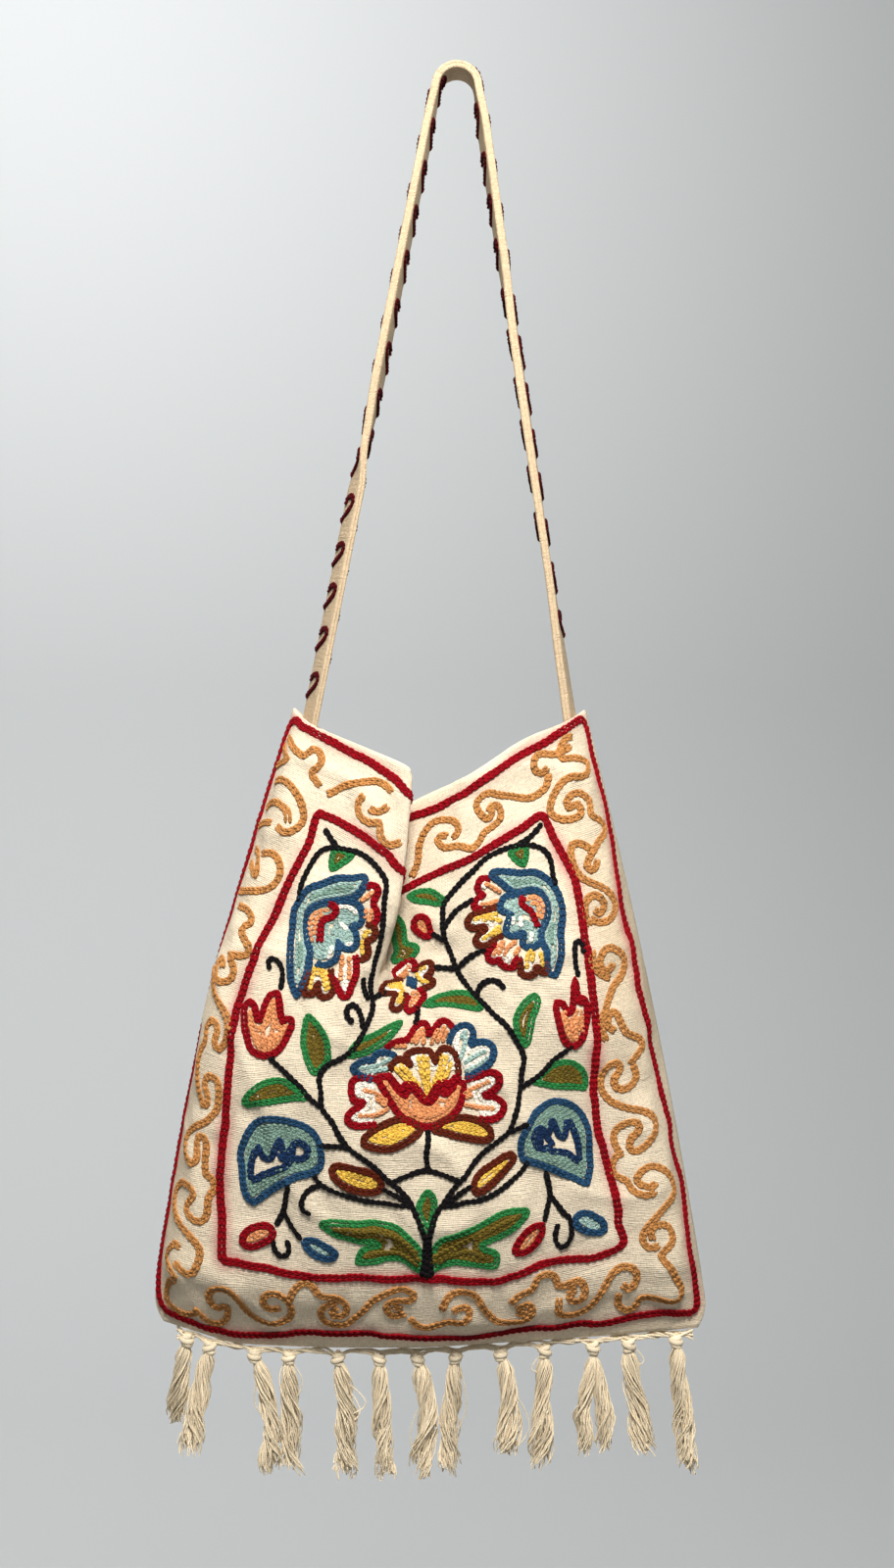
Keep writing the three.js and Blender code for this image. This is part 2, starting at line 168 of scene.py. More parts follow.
VINE: tuple[Path, ...] = (
    ((0, 75), (2.5, 88), (6, 96), (11, 102), (16, 108.5), (21, 113), (28, 120), (38, 128), (47, 132.5),
     (55, 138), (60, 147), (63, 155), (66, 165), (68, 174), (71, 184), (68, 192), (65, 200), (60, 207),
     (55, 212.5), (51, 219), (46, 226), (42, 232), (39, 243), (38, 250), (37.5, 260), (36.7, 272),
     (37.3, 280), (38.5, 288), (41.5, 298), (48, 304), (57, 310), (65, 314), (73, 317.5), (86, 318),
     (98, 316.5), (107, 313), (113, 308), (115, 301), (112.5, 289)),
    ((0, 75), (-3.7, 85), (-8, 95), (-12, 101.5), (-18.5, 108), (-24, 112.5), (-31, 119), (-40, 125),
     (-48.5, 130.5), (-55, 137), (-59, 145), (-65, 153), (-66, 163), (-67, 171), (-62, 178), (-54, 182.5),
     (-47, 188), (-43, 195), (-40.5, 202), (-37.5, 210), (-37, 217), (-39, 225), (-45, 236), (-52, 256),
     (-57, 276), (-60, 286), (-64, 299), (-69, 311), (-79, 317), (-89, 318), (-99, 316), (-106, 314),
     (-111.5, 309), (-114.5, 299), (-115, 288), (-113, 279)),
    ((0, 54), (0, 66), (0, 76)),
    ((-2.5, 55), (-2, 66), (-1, 78)),
    ((2.5, 55), (2, 66), (1, 78)),
    ((20, 112), (14, 114.5), (6, 117), (0, 119), (-6, 118.5), (-17, 115), (-23, 112)),
    ((-1, 119), (-1.5, 130), (0, 143)),
    ((8, 98), (14, 98), (28, 100), (40, 101.5), (52, 107), (60, 112), (66, 119)),
    ((12, 99), (18, 104), (27, 109)),
    ((55, 138), (61, 140), (67, 142)),
    ((66, 164), (73, 168), (81, 174), (90, 182.5), (101, 190)),
    ((47, 224), (50, 231), (56, 234.5), (63, 233.5), (66, 228.5)),
    ((37, 249), (32, 251), (26, 254)),
    ((38, 248), (46, 253), (53, 255.5), (60, 257)),
    ((38, 281), (42, 286), (50, 291), (60, 294)),
    ((36.5, 273), (33, 277), (30, 281)),
    ((98, 317), (107, 318.5), (116, 322.5)),
    ((111.5, 234), (111.5, 246), (113, 252), (116, 255.5), (118.5, 253), (117, 248)),
    ((76, 111), (77.5, 103), (77.5, 96), (75, 88), (72.5, 82)),
    ((77.5, 96), (82, 90), (85, 84), (88, 81)),
    ((88, 80), (88, 72), (87, 66), (83, 62), (79.5, 65), (78.5, 71), (80.5, 78)),
    ((-10, 99), (-22, 99), (-39, 99.5), (-49, 102.5), (-64, 107), (-69, 112)),
    ((-13, 100), (-19, 104), (-28, 108)),
    ((-64, 107), (-72, 103), (-75, 97), (-74, 91), (-70, 91)),
    ((-83, 105), (-84.5, 97), (-86, 88), (-90, 80)),
    ((-86, 88), (-82, 82), (-76, 74)),
    ((-92, 71), (-90, 64.5), (-86, 62), (-82, 65), (-83.5, 71)),
    ((-48, 130.5), (-57, 131), (-66, 131)),
    ((-65, 153), (-72, 158), (-79, 165), (-89, 173), (-97, 180)),
    ((-42, 202), (-43.5, 208), (-48, 215), (-53, 219), (-56, 215.5), (-54.5, 209), (-50, 206)),
    ((-39, 225), (-34, 229), (-28, 231)),
    ((-42, 224), (-48, 231), (-55, 242)),
    ((-101, 224), (-104, 234), (-108, 240), (-113.5, 242.5), (-116, 240), (-112.5, 235.5)),
    ((-104, 316), (-109, 318), (-114, 321)),
    ((4, 222), (2, 214), (-1, 206)),
)
SCROLL: tuple[Path, ...] = (
    ((-161, 18), (-155, 14), (-149, 13), (-142, 15), (-139, 20), (-136, 15), (-131, 12), (-124, 13),
     (-119, 20), (-119, 27), (-124, 24), (-129, 28), (-128, 35), (-122, 39), (-115, 38), (-110, 32),
     (-106, 24), (-99, 19), (-89, 19), (-82, 23), (-81, 32), (-85, 38), (-92, 40), (-97, 35), (-94, 29),
     (-88, 30)),
    ((-82, 36), (-80, 42), (-75, 47), (-69, 47), (-65, 41), (-55, 39.5), (-48.5, 34), (-49.5, 28),
     (-55, 27), (-58, 30), (-55, 33)),
    ((-55, 36.5), (-61, 35), (-64, 29), (-61, 22.5), (-50, 21), (-42, 27), (-34, 37), (-25, 43), (-15, 46),
     (-7, 42), (-12, 38), (-22, 37.5), (-25, 32), (-20, 27.5), (-14, 30)),
    ((-21, 34), (-16, 33)),
    ((53, 26.5), (58, 25.5), (58, 28)),
    ((83, 35), (88, 35)),
    ((-11, 27), (-7, 22), (0, 20), (6, 23), (12, 25), (20, 24), (25, 30), (21, 34), (15, 33)),
    ((9, 33), (12, 41), (21, 44), (30, 40), (34, 32), (39, 25), (47, 21), (57, 21), (63, 26), (60, 32),
     (53, 30)),
    ((50, 34), (56, 39), (63, 40), (67, 47), (72, 48), (77, 45), (79, 38), (90, 39), (93, 34), (90, 28),
     (83, 30), (86, 34)),
    ((78, 31), (77, 23), (83, 19), (93, 21), (100, 28), (107, 37), (113, 42), (121, 41), (123, 35),
     (119, 30), (115, 33)),
    ((113, 28), (112, 21), (117, 16), (122, 18), (125, 24), (133, 24), (143, 22), (151, 22), (152, 28),
     (147, 35), (142, 42), (138, 47), (142, 52), (147, 58), (146, 65), (140, 68), (134, 65), (134, 58)),
    ((137, 54), (131, 52), (128, 57), (130, 63), (135, 70), (142, 77), (150, 83), (154, 90), (152, 98),
     (147, 104), (140, 107), (133, 103), (132, 97), (137, 93), (141, 95)),
    ((140, 90), (136, 88), (130, 89), (126, 95), (127, 98), (122, 101), (118, 104), (118, 111), (122, 117),
     (126, 118)),
    ((124, 119), (122, 128), (125, 135), (132, 138), (138, 136), (137, 131), (132, 127), (131, 119),
     (136, 118), (142, 123), (147, 130), (147, 137), (141, 143), (131, 148), (123, 153), (118, 160),
     (118, 168), (121, 175), (127, 177), (130, 172), (126, 168), (126, 162), (130, 159), (136, 160),
     (140, 165), (138, 172)),
    ((136, 174), (140, 178), (145, 182), (142, 188), (135, 193), (132, 200), (130, 208), (126, 208),
     (124, 201), (128, 197)),
    ((122, 192), (120, 201), (123, 209), (127, 216), (131, 223), (138, 229), (141, 237), (137, 244),
     (131, 247), (126, 242), (126, 236), (130, 233), (133, 237)),
    ((123, 248), (121, 241), (124, 233), (130, 229)),
    ((126, 262), (125, 271), (129, 277), (135, 277), (138, 271), (134, 267), (131, 270)),
    ((128, 266), (132, 262), (139, 261), (144, 265), (145, 271), (141, 278), (135, 283), (129, 289),
     (127, 298), (128, 304), (132, 307), (138, 304), (140, 299), (136, 296), (134, 292), (138, 290),
     (142, 294)),
    ((141, 299), (148, 304), (155, 307), (156, 311), (152, 315), (147, 319), (149, 326), (145, 332),
     (139, 334), (134, 330), (135, 326), (140, 328), (142, 324), (139, 320), (132, 320), (126, 323),
     (124, 328), (127, 335), (133, 341), (140, 344), (146, 342), (153, 343), (156, 348), (151, 352),
     (144, 355), (138, 356), (139, 362), (144, 367), (149, 367)),
    ((146, 362), (139, 360), (133, 360), (129, 363), (123, 363), (120, 358), (123, 352), (128, 354)),
    ((128, 350), (125, 343), (117, 340), (110, 342), (102, 348), (93, 354), (87, 358), (80, 357), (78, 352),
     (81, 345), (85, 342), (88, 346)),
    ((85, 347), (90, 349), (93, 344), (92, 338), (86, 336), (78, 335), (73, 330), (68, 328), (64, 332),
     (60, 335), (53, 337), (50, 341), (51, 346), (56, 344)),
    ((59, 341), (64, 344), (63, 351), (58, 355), (50, 357), (42, 351), (37, 343), (33, 334), (28, 328)),
    ((24, 334), (12, 346), (0, 352), (-14, 350), (-28, 340), (-44, 336), (-58, 342)),
    ((-67, 335), (-74, 330), (-80, 334), (-82, 340), (-88, 337), (-95, 338), (-99, 344), (-97, 350)),
    ((-81, 351), (-85, 345), (-90, 345)),
    ((-81, 359), (-86, 361), (-92, 361), (-100, 357), (-110, 351), (-117, 344), (-120, 342)),
    ((-126, 344), (-132, 348), (-133, 351), (-129, 357), (-132, 363), (-137, 363), (-140, 357), (-147, 358),
     (-154, 361), (-162, 361)),
    ((-165, 356), (-157, 353), (-149, 351), (-157, 348), (-166, 343)),
    ((-157, 335), (-149, 339), (-142, 338), (-134, 332), (-129, 324), (-130, 317), (-135, 312),
     (-141, 313)),
    ((-136, 317), (-139, 324), (-147, 326), (-157, 322), (-160, 318)),
    ((-147, 313), (-155, 311), (-163, 307)),
    ((-147, 295), (-140, 298), (-134, 296), (-130, 289), (-132, 281), (-140, 276), (-150, 272),
     (-160, 268)),
    ((-160, 294), (-153, 294), (-148, 291), (-144, 284), (-152, 284), (-160, 286)),
    ((-154, 262), (-147, 263), (-139, 263), (-135, 258), (-139, 253), (-134, 248), (-128, 243), (-132, 238),
     (-138, 236), (-133, 229), (-133, 223), (-138, 219), (-144, 222), (-147, 229), (-143, 233),
     (-140, 228)),
    ((-158, 222), (-147, 218), (-139, 211), (-130, 204), (-125, 196), (-126, 188), (-130, 180), (-134, 184),
     (-133, 190), (-134, 195), (-139, 196), (-142, 190), (-141, 182), (-145, 175), (-146, 166), (-145, 158),
     (-142, 148), (-137, 142), (-135, 150), (-138, 157), (-136, 162), (-130, 162), (-127, 155), (-129, 143),
     (-134, 134), (-143, 129), (-149, 122), (-148, 113), (-141, 107), (-138, 112), (-140, 120), (-138, 125),
     (-134, 122), (-133, 112), (-132, 103), (-127, 100), (-127, 93), (-130, 90), (-130, 82), (-132, 75),
     (-139, 76), (-143, 81), (-139, 87), (-138, 92), (-144, 94), (-152, 92), (-158, 85), (-156, 77),
     (-149, 71), (-139, 65), (-133, 57), (-135, 47), (-140, 43), (-147, 47)),
    ((-145, 56), (-149, 57), (-156, 50), (-157, 45), (-147, 40), (-155, 33), (-160, 25), (-161, 18)),
)
LEAVES: tuple[Path, ...] = (
    ((7.5, 221.5), (15, 226.5), (23, 230), (33, 230.5), (42, 228), (48, 223), (50, 217), (47, 214),
     (40, 216), (30, 218.5), (20, 220), (12, 220)),
    ((72, 190), (68, 198), (68, 207), (72, 215), (78, 221.5), (83, 223.5), (84.5, 220), (82, 213),
     (78, 203), (75, 193)),
    ((74, 167), (81, 174), (88, 179), (97, 181), (105, 178), (109, 172), (109, 165), (106.5, 161),
     (103, 162.5), (97, 163), (87, 164)),
    ((22, 315), (28, 316), (37, 312), (43, 304), (44, 299), (38, 300), (32, 304), (25, 309)),
    ((90, 314), (98, 317), (103, 315), (101.5, 308), (97.5, 303.5), (93, 308)),
    ((8.5, 308), (12.5, 303), (14, 295), (12.5, 287), (11.8, 281), (14.5, 280), (18, 276), (18, 271.5),
     (14, 268), (8, 264.5), (3.5, 268), (-1, 267), (-1.5, 272.5), (3, 278), (3.5, 287), (5, 298)),
    ((-50, 184), (-45, 193), (-34, 198), (-22, 204), (-12, 208), (-15, 202), (-25, 193), (-35, 187),
     (-44, 184)),
    ((-70, 171.5), (-75, 177), (-79, 190), (-80, 202), (-78.5, 209), (-72, 205), (-65, 197), (-62, 187),
     (-62, 179)),
    ((-112, 150), (-109, 157), (-100, 165), (-89, 167.5), (-80, 163), (-73, 158), (-82, 156), (-94, 153),
     (-104, 150), (-109.5, 148)),
    ((-105, 314), (-99, 316), (-92, 315), (-95, 308), (-100, 301), (-104.5, 306)),
    ((-1.5, 108), (4, 101), (3.5, 93), (-1, 83), (-6, 93), (-7, 100)),
    ((3, 72), (9, 79), (18, 82), (32, 86), (47, 91), (58, 91.5), (63.5, 90), (61, 85), (53, 79), (43, 75),
     (34, 72), (42, 68), (44, 64), (42, 58), (32, 59), (18, 62), (9, 60), (4, 58)),
    ((-4, 71), (-10, 80), (-19, 86.5), (-30, 88), (-45, 87), (-63, 86.5), (-64.5, 83), (-55, 78), (-42, 75),
     (-30, 74), (-39, 71.5), (-42, 66), (-42, 61), (-30, 63), (-17, 65), (-9, 60), (-5, 58)),
)
BIG_BUDS: tuple[Path, ...] = (
    ((62, 125), (62.5, 132), (67, 140), (73, 148), (80, 153), (88, 155.3), (97, 153), (103, 147),
     (106, 137), (105.5, 126), (104, 113), (100, 101), (96, 103), (88, 108), (80, 113), (71, 117.5),
     (64, 120)),
    ((-112, 117), (-111, 126), (-107.5, 135), (-100, 141.5), (-89, 143), (-77, 141.5), (-69, 137),
     (-65, 128), (-65, 120), (-69, 114), (-79, 110), (-89, 104), (-97, 97), (-104, 91), (-109, 97),
     (-111, 108)),
)
BUD_COMBS: tuple[Path, ...] = (
    ((70.7, 131), (71.2, 136.5), (75.4, 139), (79, 136), (81.5, 137), (83.3, 145), (85.3, 138), (87, 133),
     (90, 132), (92, 137), (93.5, 143), (96.5, 139), (98.2, 131), (97.8, 122), (96.5, 115.5), (91, 121.4),
     (85, 123.2), (80, 124.2), (78, 127), (73, 126.5)),
    ((-104, 104), (-105.5, 111), (-104.6, 119), (-101.6, 124.3), (-99.8, 120), (-96, 117.7), (-92.8, 121),
     (-91.3, 127), (-89.5, 131), (-87.5, 125.5), (-85.5, 123.5), (-82.5, 126), (-81, 130), (-77, 131.3),
     (-73.3, 128), (-73.3, 123), (-77.5, 121), (-83, 120.5), (-85, 115.5), (-93, 111.2), (-99.5, 108),
     (-102, 104.5)),
)
BUD_BARS: tuple[Path, ...] = (
    ((74, 129), (73.8, 134), (77, 135.5), (79.5, 132), (81.5, 128)),
    ((-89, 123), (-86, 119), (-82.5, 123), (-81.5, 127)),
)
OVAL_BUDS: tuple[tuple[Thread, Thread, Path], ...] = (
    (Thread.BROWN, Thread.YELLOW, ((28.5, 108), (30, 112), (40, 118.3), (48, 122.5), (56.5, 124), (56, 120),
        (48, 113), (40, 107.5), (31.5, 104.5))),
    (Thread.CRIMSON, Thread.PEACH, ((53.5, 63.5), (54, 70), (60, 77.5), (67, 81), (72.5, 80.5), (71.5, 75),
        (66.5, 68), (61, 63.5))),
    (Thread.INDIGO, Thread.TEAL, ((88.5, 78), (92, 83), (98, 82.5), (105, 77.5), (109, 72), (108, 66),
        (104, 65.5), (98, 67.5), (92.5, 72))),
    (Thread.CRIMSON, Thread.PEACH, ((19, 293), (22, 298), (27.5, 297.5), (31, 291), (30, 281), (26, 278.5),
        (22, 282.5), (19.5, 288))),
    (Thread.BROWN, Thread.YELLOW, ((-58.5, 117.5), (-55, 119.5), (-45, 119), (-34, 116), (-28.5, 111),
        (-31, 105.5), (-40, 104.5), (-50, 107.5), (-56, 112))),
    (Thread.CRIMSON, Thread.PEACH, ((-90.5, 77), (-95, 79), (-104, 76.5), (-110, 70), (-110.5, 65),
        (-105, 63), (-97, 67), (-91, 72.5))),
    (Thread.INDIGO, Thread.TEAL, ((-75.5, 73.5), (-69, 75), (-60, 71.5), (-54, 66.5), (-57, 63),
        (-65, 63.5), (-72, 67.5))),
)
BROWN_PETALS: tuple[tuple[Path, bool], ...] = (
    (((4, 143), (12, 148), (25, 148.5), (37, 145), (43, 138), (39, 134), (27, 136), (13, 140)), True),
    (((-5, 144), (-14, 149), (-23, 147), (-33, 141.5), (-40.5, 134.5), (-30, 131.5), (-19, 133.5),
     (-8, 140)), True),
    (((-22, 176), (-19.4, 180.8), (-14.4, 182.8), (-10, 181), (-7, 177.8), (-9, 182), (-10.7, 185.5),
     (-6, 187.8), (0, 188.3), (7.2, 187.5), (8.5, 184), (9.8, 181), (12, 185), (15, 188.8), (19, 189.3),
     (23, 188), (25.2, 184), (25, 174)), False),
    (((11.5, 254), (17, 258.5), (22.5, 259.5), (24.5, 255.5), (21, 250), (18, 247.5), (21, 244), (19, 239),
     (12.5, 237)), False),
    (((0, 247), (-10, 247.5), (-25, 244), (-35, 238.5), (-31, 231.5), (-22, 230), (-14, 231), (-20, 227),
     (-21.5, 218.5), (-16, 216.5), (-8, 223), (-2, 233)), False),
    (((73, 283.5), (65.4, 283), (58.3, 284), (54, 281.3), (53, 277), (56.6, 273.4), (61.8, 273.4),
     (64.5, 271.2), (60, 269), (55.7, 266.4), (55.7, 262), (60, 259.4), (64.5, 260), (68, 263.8),
     (72.4, 264.2)), False),
    (((78, 248), (77.5, 242), (77, 237), (81, 235), (85.5, 237.5), (87.3, 242.5), (89, 237.5), (92.5, 237),
     (93.5, 244)), False),
    (((-69, 278.7), (-63.5, 278), (-61, 274), (-62, 270), (-64.5, 267.5), (-61.5, 263.5), (-60, 258),
     (-63, 253.5)), False),
    (((-89, 239), (-87.5, 230), (-85.5, 224.5), (-81.5, 221.5), (-80, 227), (-80.8, 232.5), (-78, 225),
     (-73, 220.8), (-69, 224), (-70, 230), (-74, 236), (-77, 243)), False),
)
CRIMSON_PETALS: tuple[Path, ...] = (
    ((-24.5, 190), (-21, 192.3), (-15, 194), (-9.5, 194.3), (-6, 198), (-2.7, 203), (2.3, 205.8),
     (7.5, 206.8), (8.5, 202.5), (8, 198), (11.5, 201), (15.5, 206.4), (20, 208.6), (24, 206.5), (26, 203)),
    ((29, 170.5), (39.7, 172.5), (45.6, 174.6), (51.4, 174), (53, 170), (49.7, 164.2), (39.7, 160.8),
     (46.4, 160), (53, 156), (53.5, 151.7), (48, 146.7), (42, 146), (35.6, 147)),
    ((-30, 170.5), (-38, 171.5), (-46, 169.5), (-47.5, 163), (-46, 157.5), (-38.5, 156), (-47, 152),
     (-50, 146.5), (-44, 143), (-32, 144.5)),
    ((-13, 250), (-7, 257.5), (1.5, 262), (10.5, 266.5), (13.5, 261), (11.5, 255)),
    ((10, 238), (11.5, 230), (6.5, 224), (0, 217.5), (-7.5, 215.5), (-6, 222), (-1, 230)),
    ((74, 303), (68.5, 306), (65.5, 302.5), (63.8, 298.5), (67, 295), (62.5, 293.5), (59.3, 290.5),
     (60, 286.5), (64, 285.5)),
    ((68, 259.5), (64, 257), (61, 255), (60.3, 250), (63.5, 247), (67, 248.5), (68, 243.5), (73, 241.8),
     (74.5, 245.5), (78, 247.5)),
    ((-77, 301), (-73, 304), (-69, 301), (-69.5, 295), (-69.5, 292), (-65, 288.5), (-64, 283),
     (-65.5, 279.5)),
    ((-68, 256), (-64, 251), (-61, 244.4), (-60, 237), (-59, 230), (-58.3, 225), (-61, 222.8),
     (-66.5, 228.7), (-71, 234.6), (-76, 239)),
)
TULIPS: tuple[Path, ...] = (
    ((102, 189.5), (97, 193), (94.7, 202), (94, 212), (95, 218), (99, 217), (101, 209.5), (104.5, 215),
     (107, 226), (109, 232), (108.5, 216), (111.5, 221), (112.5, 212), (109.5, 200), (106, 192)),
    ((-99, 181), (-107.5, 182.5), (-114, 191.5), (-117.5, 203), (-118.5, 212), (-114, 211.5),
     (-107.5, 200.5), (-107, 208), (-106, 217.5), (-103, 221.5), (-99, 216.5), (-95.5, 207), (-93.5, 202),
     (-90, 205.5), (-87, 202.5), (-88, 194), (-92, 185.5)),
)
INDIGO_PETALS: tuple[Path, ...] = (
    ((21.5, 192), (23, 196.5), (27, 201.6), (33.5, 204.8), (39, 203.5), (40, 198), (35.5, 191),
     (42.5, 193.5), (50, 193), (52, 187), (47.5, 180), (41, 175.5), (30, 172.5)),
    ((-17.5, 184), (-22.7, 186.6), (-28.6, 187), (-33.5, 184.5), (-32, 181.8), (-38, 182), (-44.4, 179.3),
     (-46.5, 176), (-42, 173.3), (-34, 170)),
)
CORE_EDGES: tuple[Path, ...] = (
    ((94, 289), (86, 288.5), (80, 289), (77, 286.5), (75, 283), (75, 279.5), (80, 277.5), (78, 274),
     (76, 270.5), (74.5, 265.5), (77, 262.5), (82, 263), (85.5, 265), (83.5, 261), (82.3, 256), (86, 253.5),
     (91, 255.5), (95, 256)),
    ((-88, 288), (-79, 289), (-74, 285.5), (-72, 279.6), (-73, 276), (-78.5, 274.3), (-74, 272), (-71, 267),
     (-70, 262), (-73, 258.6), (-78, 259), (-81, 262.5), (-78, 256), (-77, 251), (-79, 247), (-82, 244.4),
     (-87, 244.4)),
    ((3, 240), (7, 250)),
    ((6, 238), (9.5, 248)),
)
CORES: tuple[Path, ...] = (
    ((82, 287), (79, 284), (77, 280), (79, 276), (76, 270), (77, 265), (81, 264), (86, 266), (86, 260),
     (87, 256), (92, 259), (96, 263), (99, 270), (101, 277), (99, 283), (92, 285)),
    ((-88, 283), (-80, 285), (-75, 281), (-74, 277), (-80, 273), (-75, 269), (-73, 263), (-78, 260),
     (-82, 252), (-86, 248), (-90, 249), (-95, 253), (-100, 261), (-102, 268), (-102, 276), (-97, 281)),
)
HOODS: tuple[Path, ...] = (
    ((75, 306), (78, 307), (84.6, 304.5), (93.4, 300.6), (101.3, 298.8), (107.5, 294.5), (111.4, 288.3),
     (112.7, 281), (111.4, 273.4), (109, 265.5), (106, 257.6), (103.5, 249.7), (101.3, 242.7),
     (98.7, 236.6), (96, 234.8), (94, 237.4), (94.3, 244.5), (95.5, 250.6), (94, 258), (96, 264),
     (100, 270), (103, 275.5), (104.2, 281), (101, 287), (94, 289), (87, 289.5), (83, 293), (78.5, 299.5)),
    ((-78, 304), (-81, 306), (-85.7, 302.7), (-95.5, 297.8), (-105.3, 290), (-109.7, 287), (-112.2, 280.6),
     (-113, 273.8), (-111.7, 266), (-106.3, 251), (-99.4, 235.5), (-95.5, 228.7), (-90.6, 222.8),
     (-88.2, 221), (-88.6, 229.6), (-91.6, 243.4), (-94, 251.7), (-98, 257), (-101.4, 263), (-103.8, 269),
     (-105, 274), (-103.3, 278.2), (-99, 281.6), (-93.5, 284.5), (-87.6, 288), (-83, 291), (-80.5, 294),
     (-79, 299)),
)
LOTUS_CUP: Path = (
    (-30, 171.5), (-27.5, 166.5), (-23, 158), (-16.5, 150), (-7, 145.5), (1.5, 144.5), (11.5, 147),
    (20, 152.5), (25, 160), (27.5, 168), (23, 168), (18, 165), (12, 161.5), (15, 168), (9, 164), (1.5, 158),
    (-5, 163), (-10, 166.5), (-13, 161.5), (-17.5, 165), (-22.5, 171.5),
)
PETAL_ROWS: tuple[tuple[Thread, tuple[Path, ...]], ...] = (
    (Thread.OLIVE, (
        ((2, 64), (12, 68), (23, 75), (37, 80.5), (50, 85.5), (58, 88)), ((6, 63), (16, 68), (27, 69),
        (35, 65.5)), ((3, 67), (13, 72), (25, 78), (38, 83)), ((-4, 65), (-12, 75), (-22, 81.5),
        (-39, 82.5), (-57, 83)), ((-5, 62), (-18, 70), (-32, 68.5), (-38, 66)), ((-6, 70), (-15, 79),
        (-26, 84)))),
    (Thread.YELLOW, (
        ((-18.5, 178), (-12, 171.5), (-5, 165), (0, 161)), ((-15, 179.5), (-10, 174), (-4, 167)),
        ((-12.5, 178), (-8, 173.5)), ((-2.5, 185), (-0.5, 174), (1, 162)), ((1, 185.5), (1.5, 174)),
        ((4.5, 185), (3.5, 174), (2, 164)), ((15, 185.5), (11, 176), (5, 166.5)), ((18.5, 185), (14, 176),
        (8, 168.5)), ((21, 181), (17, 174), (12, 170)), ((13, 253), (13, 247), (15, 242)), ((15, 254.5),
        (20, 256)), ((15.5, 245), (17.5, 241.5)), ((-28, 240), (-15, 243), (-2, 243.5)), ((-24, 237),
        (-12, 239.5), (-2, 240)), ((-17, 221), (-12, 229), (-3, 237)), ((-14, 221.5), (-8, 229)),
        ((57.5, 279.5), (64.5, 280), (72, 278.5)), ((62, 277.5), (68, 277), (73, 274)), ((60, 264),
        (65.5, 266.5), (71.5, 270.5)), ((66, 264.5), (72, 267.5)), ((81, 240.5), (82.5, 248), (86, 252)),
        ((91, 241), (91, 250)), ((84.5, 245), (87, 250.5)), ((-68.5, 273.5), (-64.5, 274.5)),
        ((-68.5, 270.5), (-66, 271)), ((-67.5, 267.5), (-66, 263.5), (-63.5, 258)), ((-88, 241.5),
        (-85.5, 234), (-83, 226)), ((-85, 242), (-82.5, 236)), ((-82, 242), (-78, 234), (-73, 226)),
        ((-79, 241), (-75, 233), (-72, 227.5)))),
    (Thread.PEACH, (
        ((-19, 190.8), (-10, 191.2)), ((-3, 192), (3, 202)), ((2, 192), (5.5, 203)), ((8, 192),
        (14.5, 202)), ((13, 193), (20, 204)), ((-6, 193), (0, 200)), ((17, 193), (21.5, 201)), ((-26, 170),
        (-20, 161.5), (-13, 155), (-5, 151), (2.5, 150), (11.5, 153), (20, 160), (24, 166.5)), ((26, 162),
        (35.6, 166), (46.5, 169.2)), ((25.6, 156), (34, 154.2), (46.5, 152.5)), ((27, 160), (32, 161.5)),
        ((-40, 164), (-31, 162.5), (-25, 158)), ((-43, 148.5), (-33, 150.5), (-24, 154)), ((-32, 160),
        (-26, 156)), ((-2, 252), (5, 256.5), (10, 261)), ((1, 250), (7, 255)), ((8, 236), (6, 229),
        (1, 222)), ((4, 235), (2, 228), (-3, 219)), ((70, 302), (74, 297), (77.5, 292.5)), ((62.5, 289),
        (68.5, 287.2), (75, 288)), ((64, 251), (67, 256), (72, 259.5)), ((70, 250), (73, 255), (79, 259)),
        ((76, 250), (79.5, 255)), ((67, 251.5), (71, 257)), ((100, 195), (99, 203), (99, 212)), ((104, 193),
        (104, 205)), ((108, 197), (109, 209)), ((-105, 186), (-111, 195), (-115, 206)), ((-103, 186),
        (-104, 200), (-103, 214)), ((-99, 185), (-99, 200), (-101, 212)), ((-95, 188), (-91, 198)),
        ((-72, 300), (-74, 295), (-77, 291.5)), ((-69, 289), (-68, 285), (-68.5, 280.5)), ((-72, 288),
        (-71, 282)), ((-75, 254), (-72, 245.5), (-68, 236)), ((-71, 254), (-67, 247), (-63.5, 238)),
        ((92, 283.5), (97, 284.5), (101, 281.5), (100.5, 276), (97.5, 271.5)), ((94, 280.5), (98, 281),
        (98, 277), (96, 273)), ((-93, 279.5), (-98, 277.5), (-102, 273), (-101, 267.5), (-98.5, 262.5),
        (-95, 258)), ((-96, 276), (-99, 272), (-98, 267), (-96, 262)))),
    (Thread.CRIMSON, (
        ((91, 286), (88.2, 283), (89.5, 279.5), (92.5, 277), (93.5, 272.5), (94.2, 267)), ((-95, 282.8),
        (-91, 283), (-88.8, 279.5), (-91, 275.5), (-94.7, 273), (-94.5, 268), (-93, 264), (-91.5, 258.5)),
        ((-24, 173.5), (-19, 169.5), (-15, 165.5), (-11, 168.5), (-6, 166), (-1, 161), (1.5, 159.5),
        (5, 163), (9, 167.5), (14, 169.5), (18, 168), (22, 171.5), (26, 173)))),
    (Thread.TEAL, (
        ((27, 182), (32, 192), (34, 200)), ((30, 180), (36, 184), (47, 188)), ((30, 176), (40, 179),
        (48, 184)), ((30, 196), (35, 201)), ((-42, 177), (-31, 179), (-20, 183)), ((-38, 175), (-24, 177)),
    )),
    (Thread.WHITE, (
        ((81, 275), (79.5, 270)), ((86, 274), (84, 268)), ((89, 264), (87, 258)), ((-89, 283), (-83, 285),
        (-77, 283)), ((-82.5, 258), (-81.2, 249.5)), ((-79, 271.5), (-84, 274)), ((-76, 261), (-73, 263)))),
)


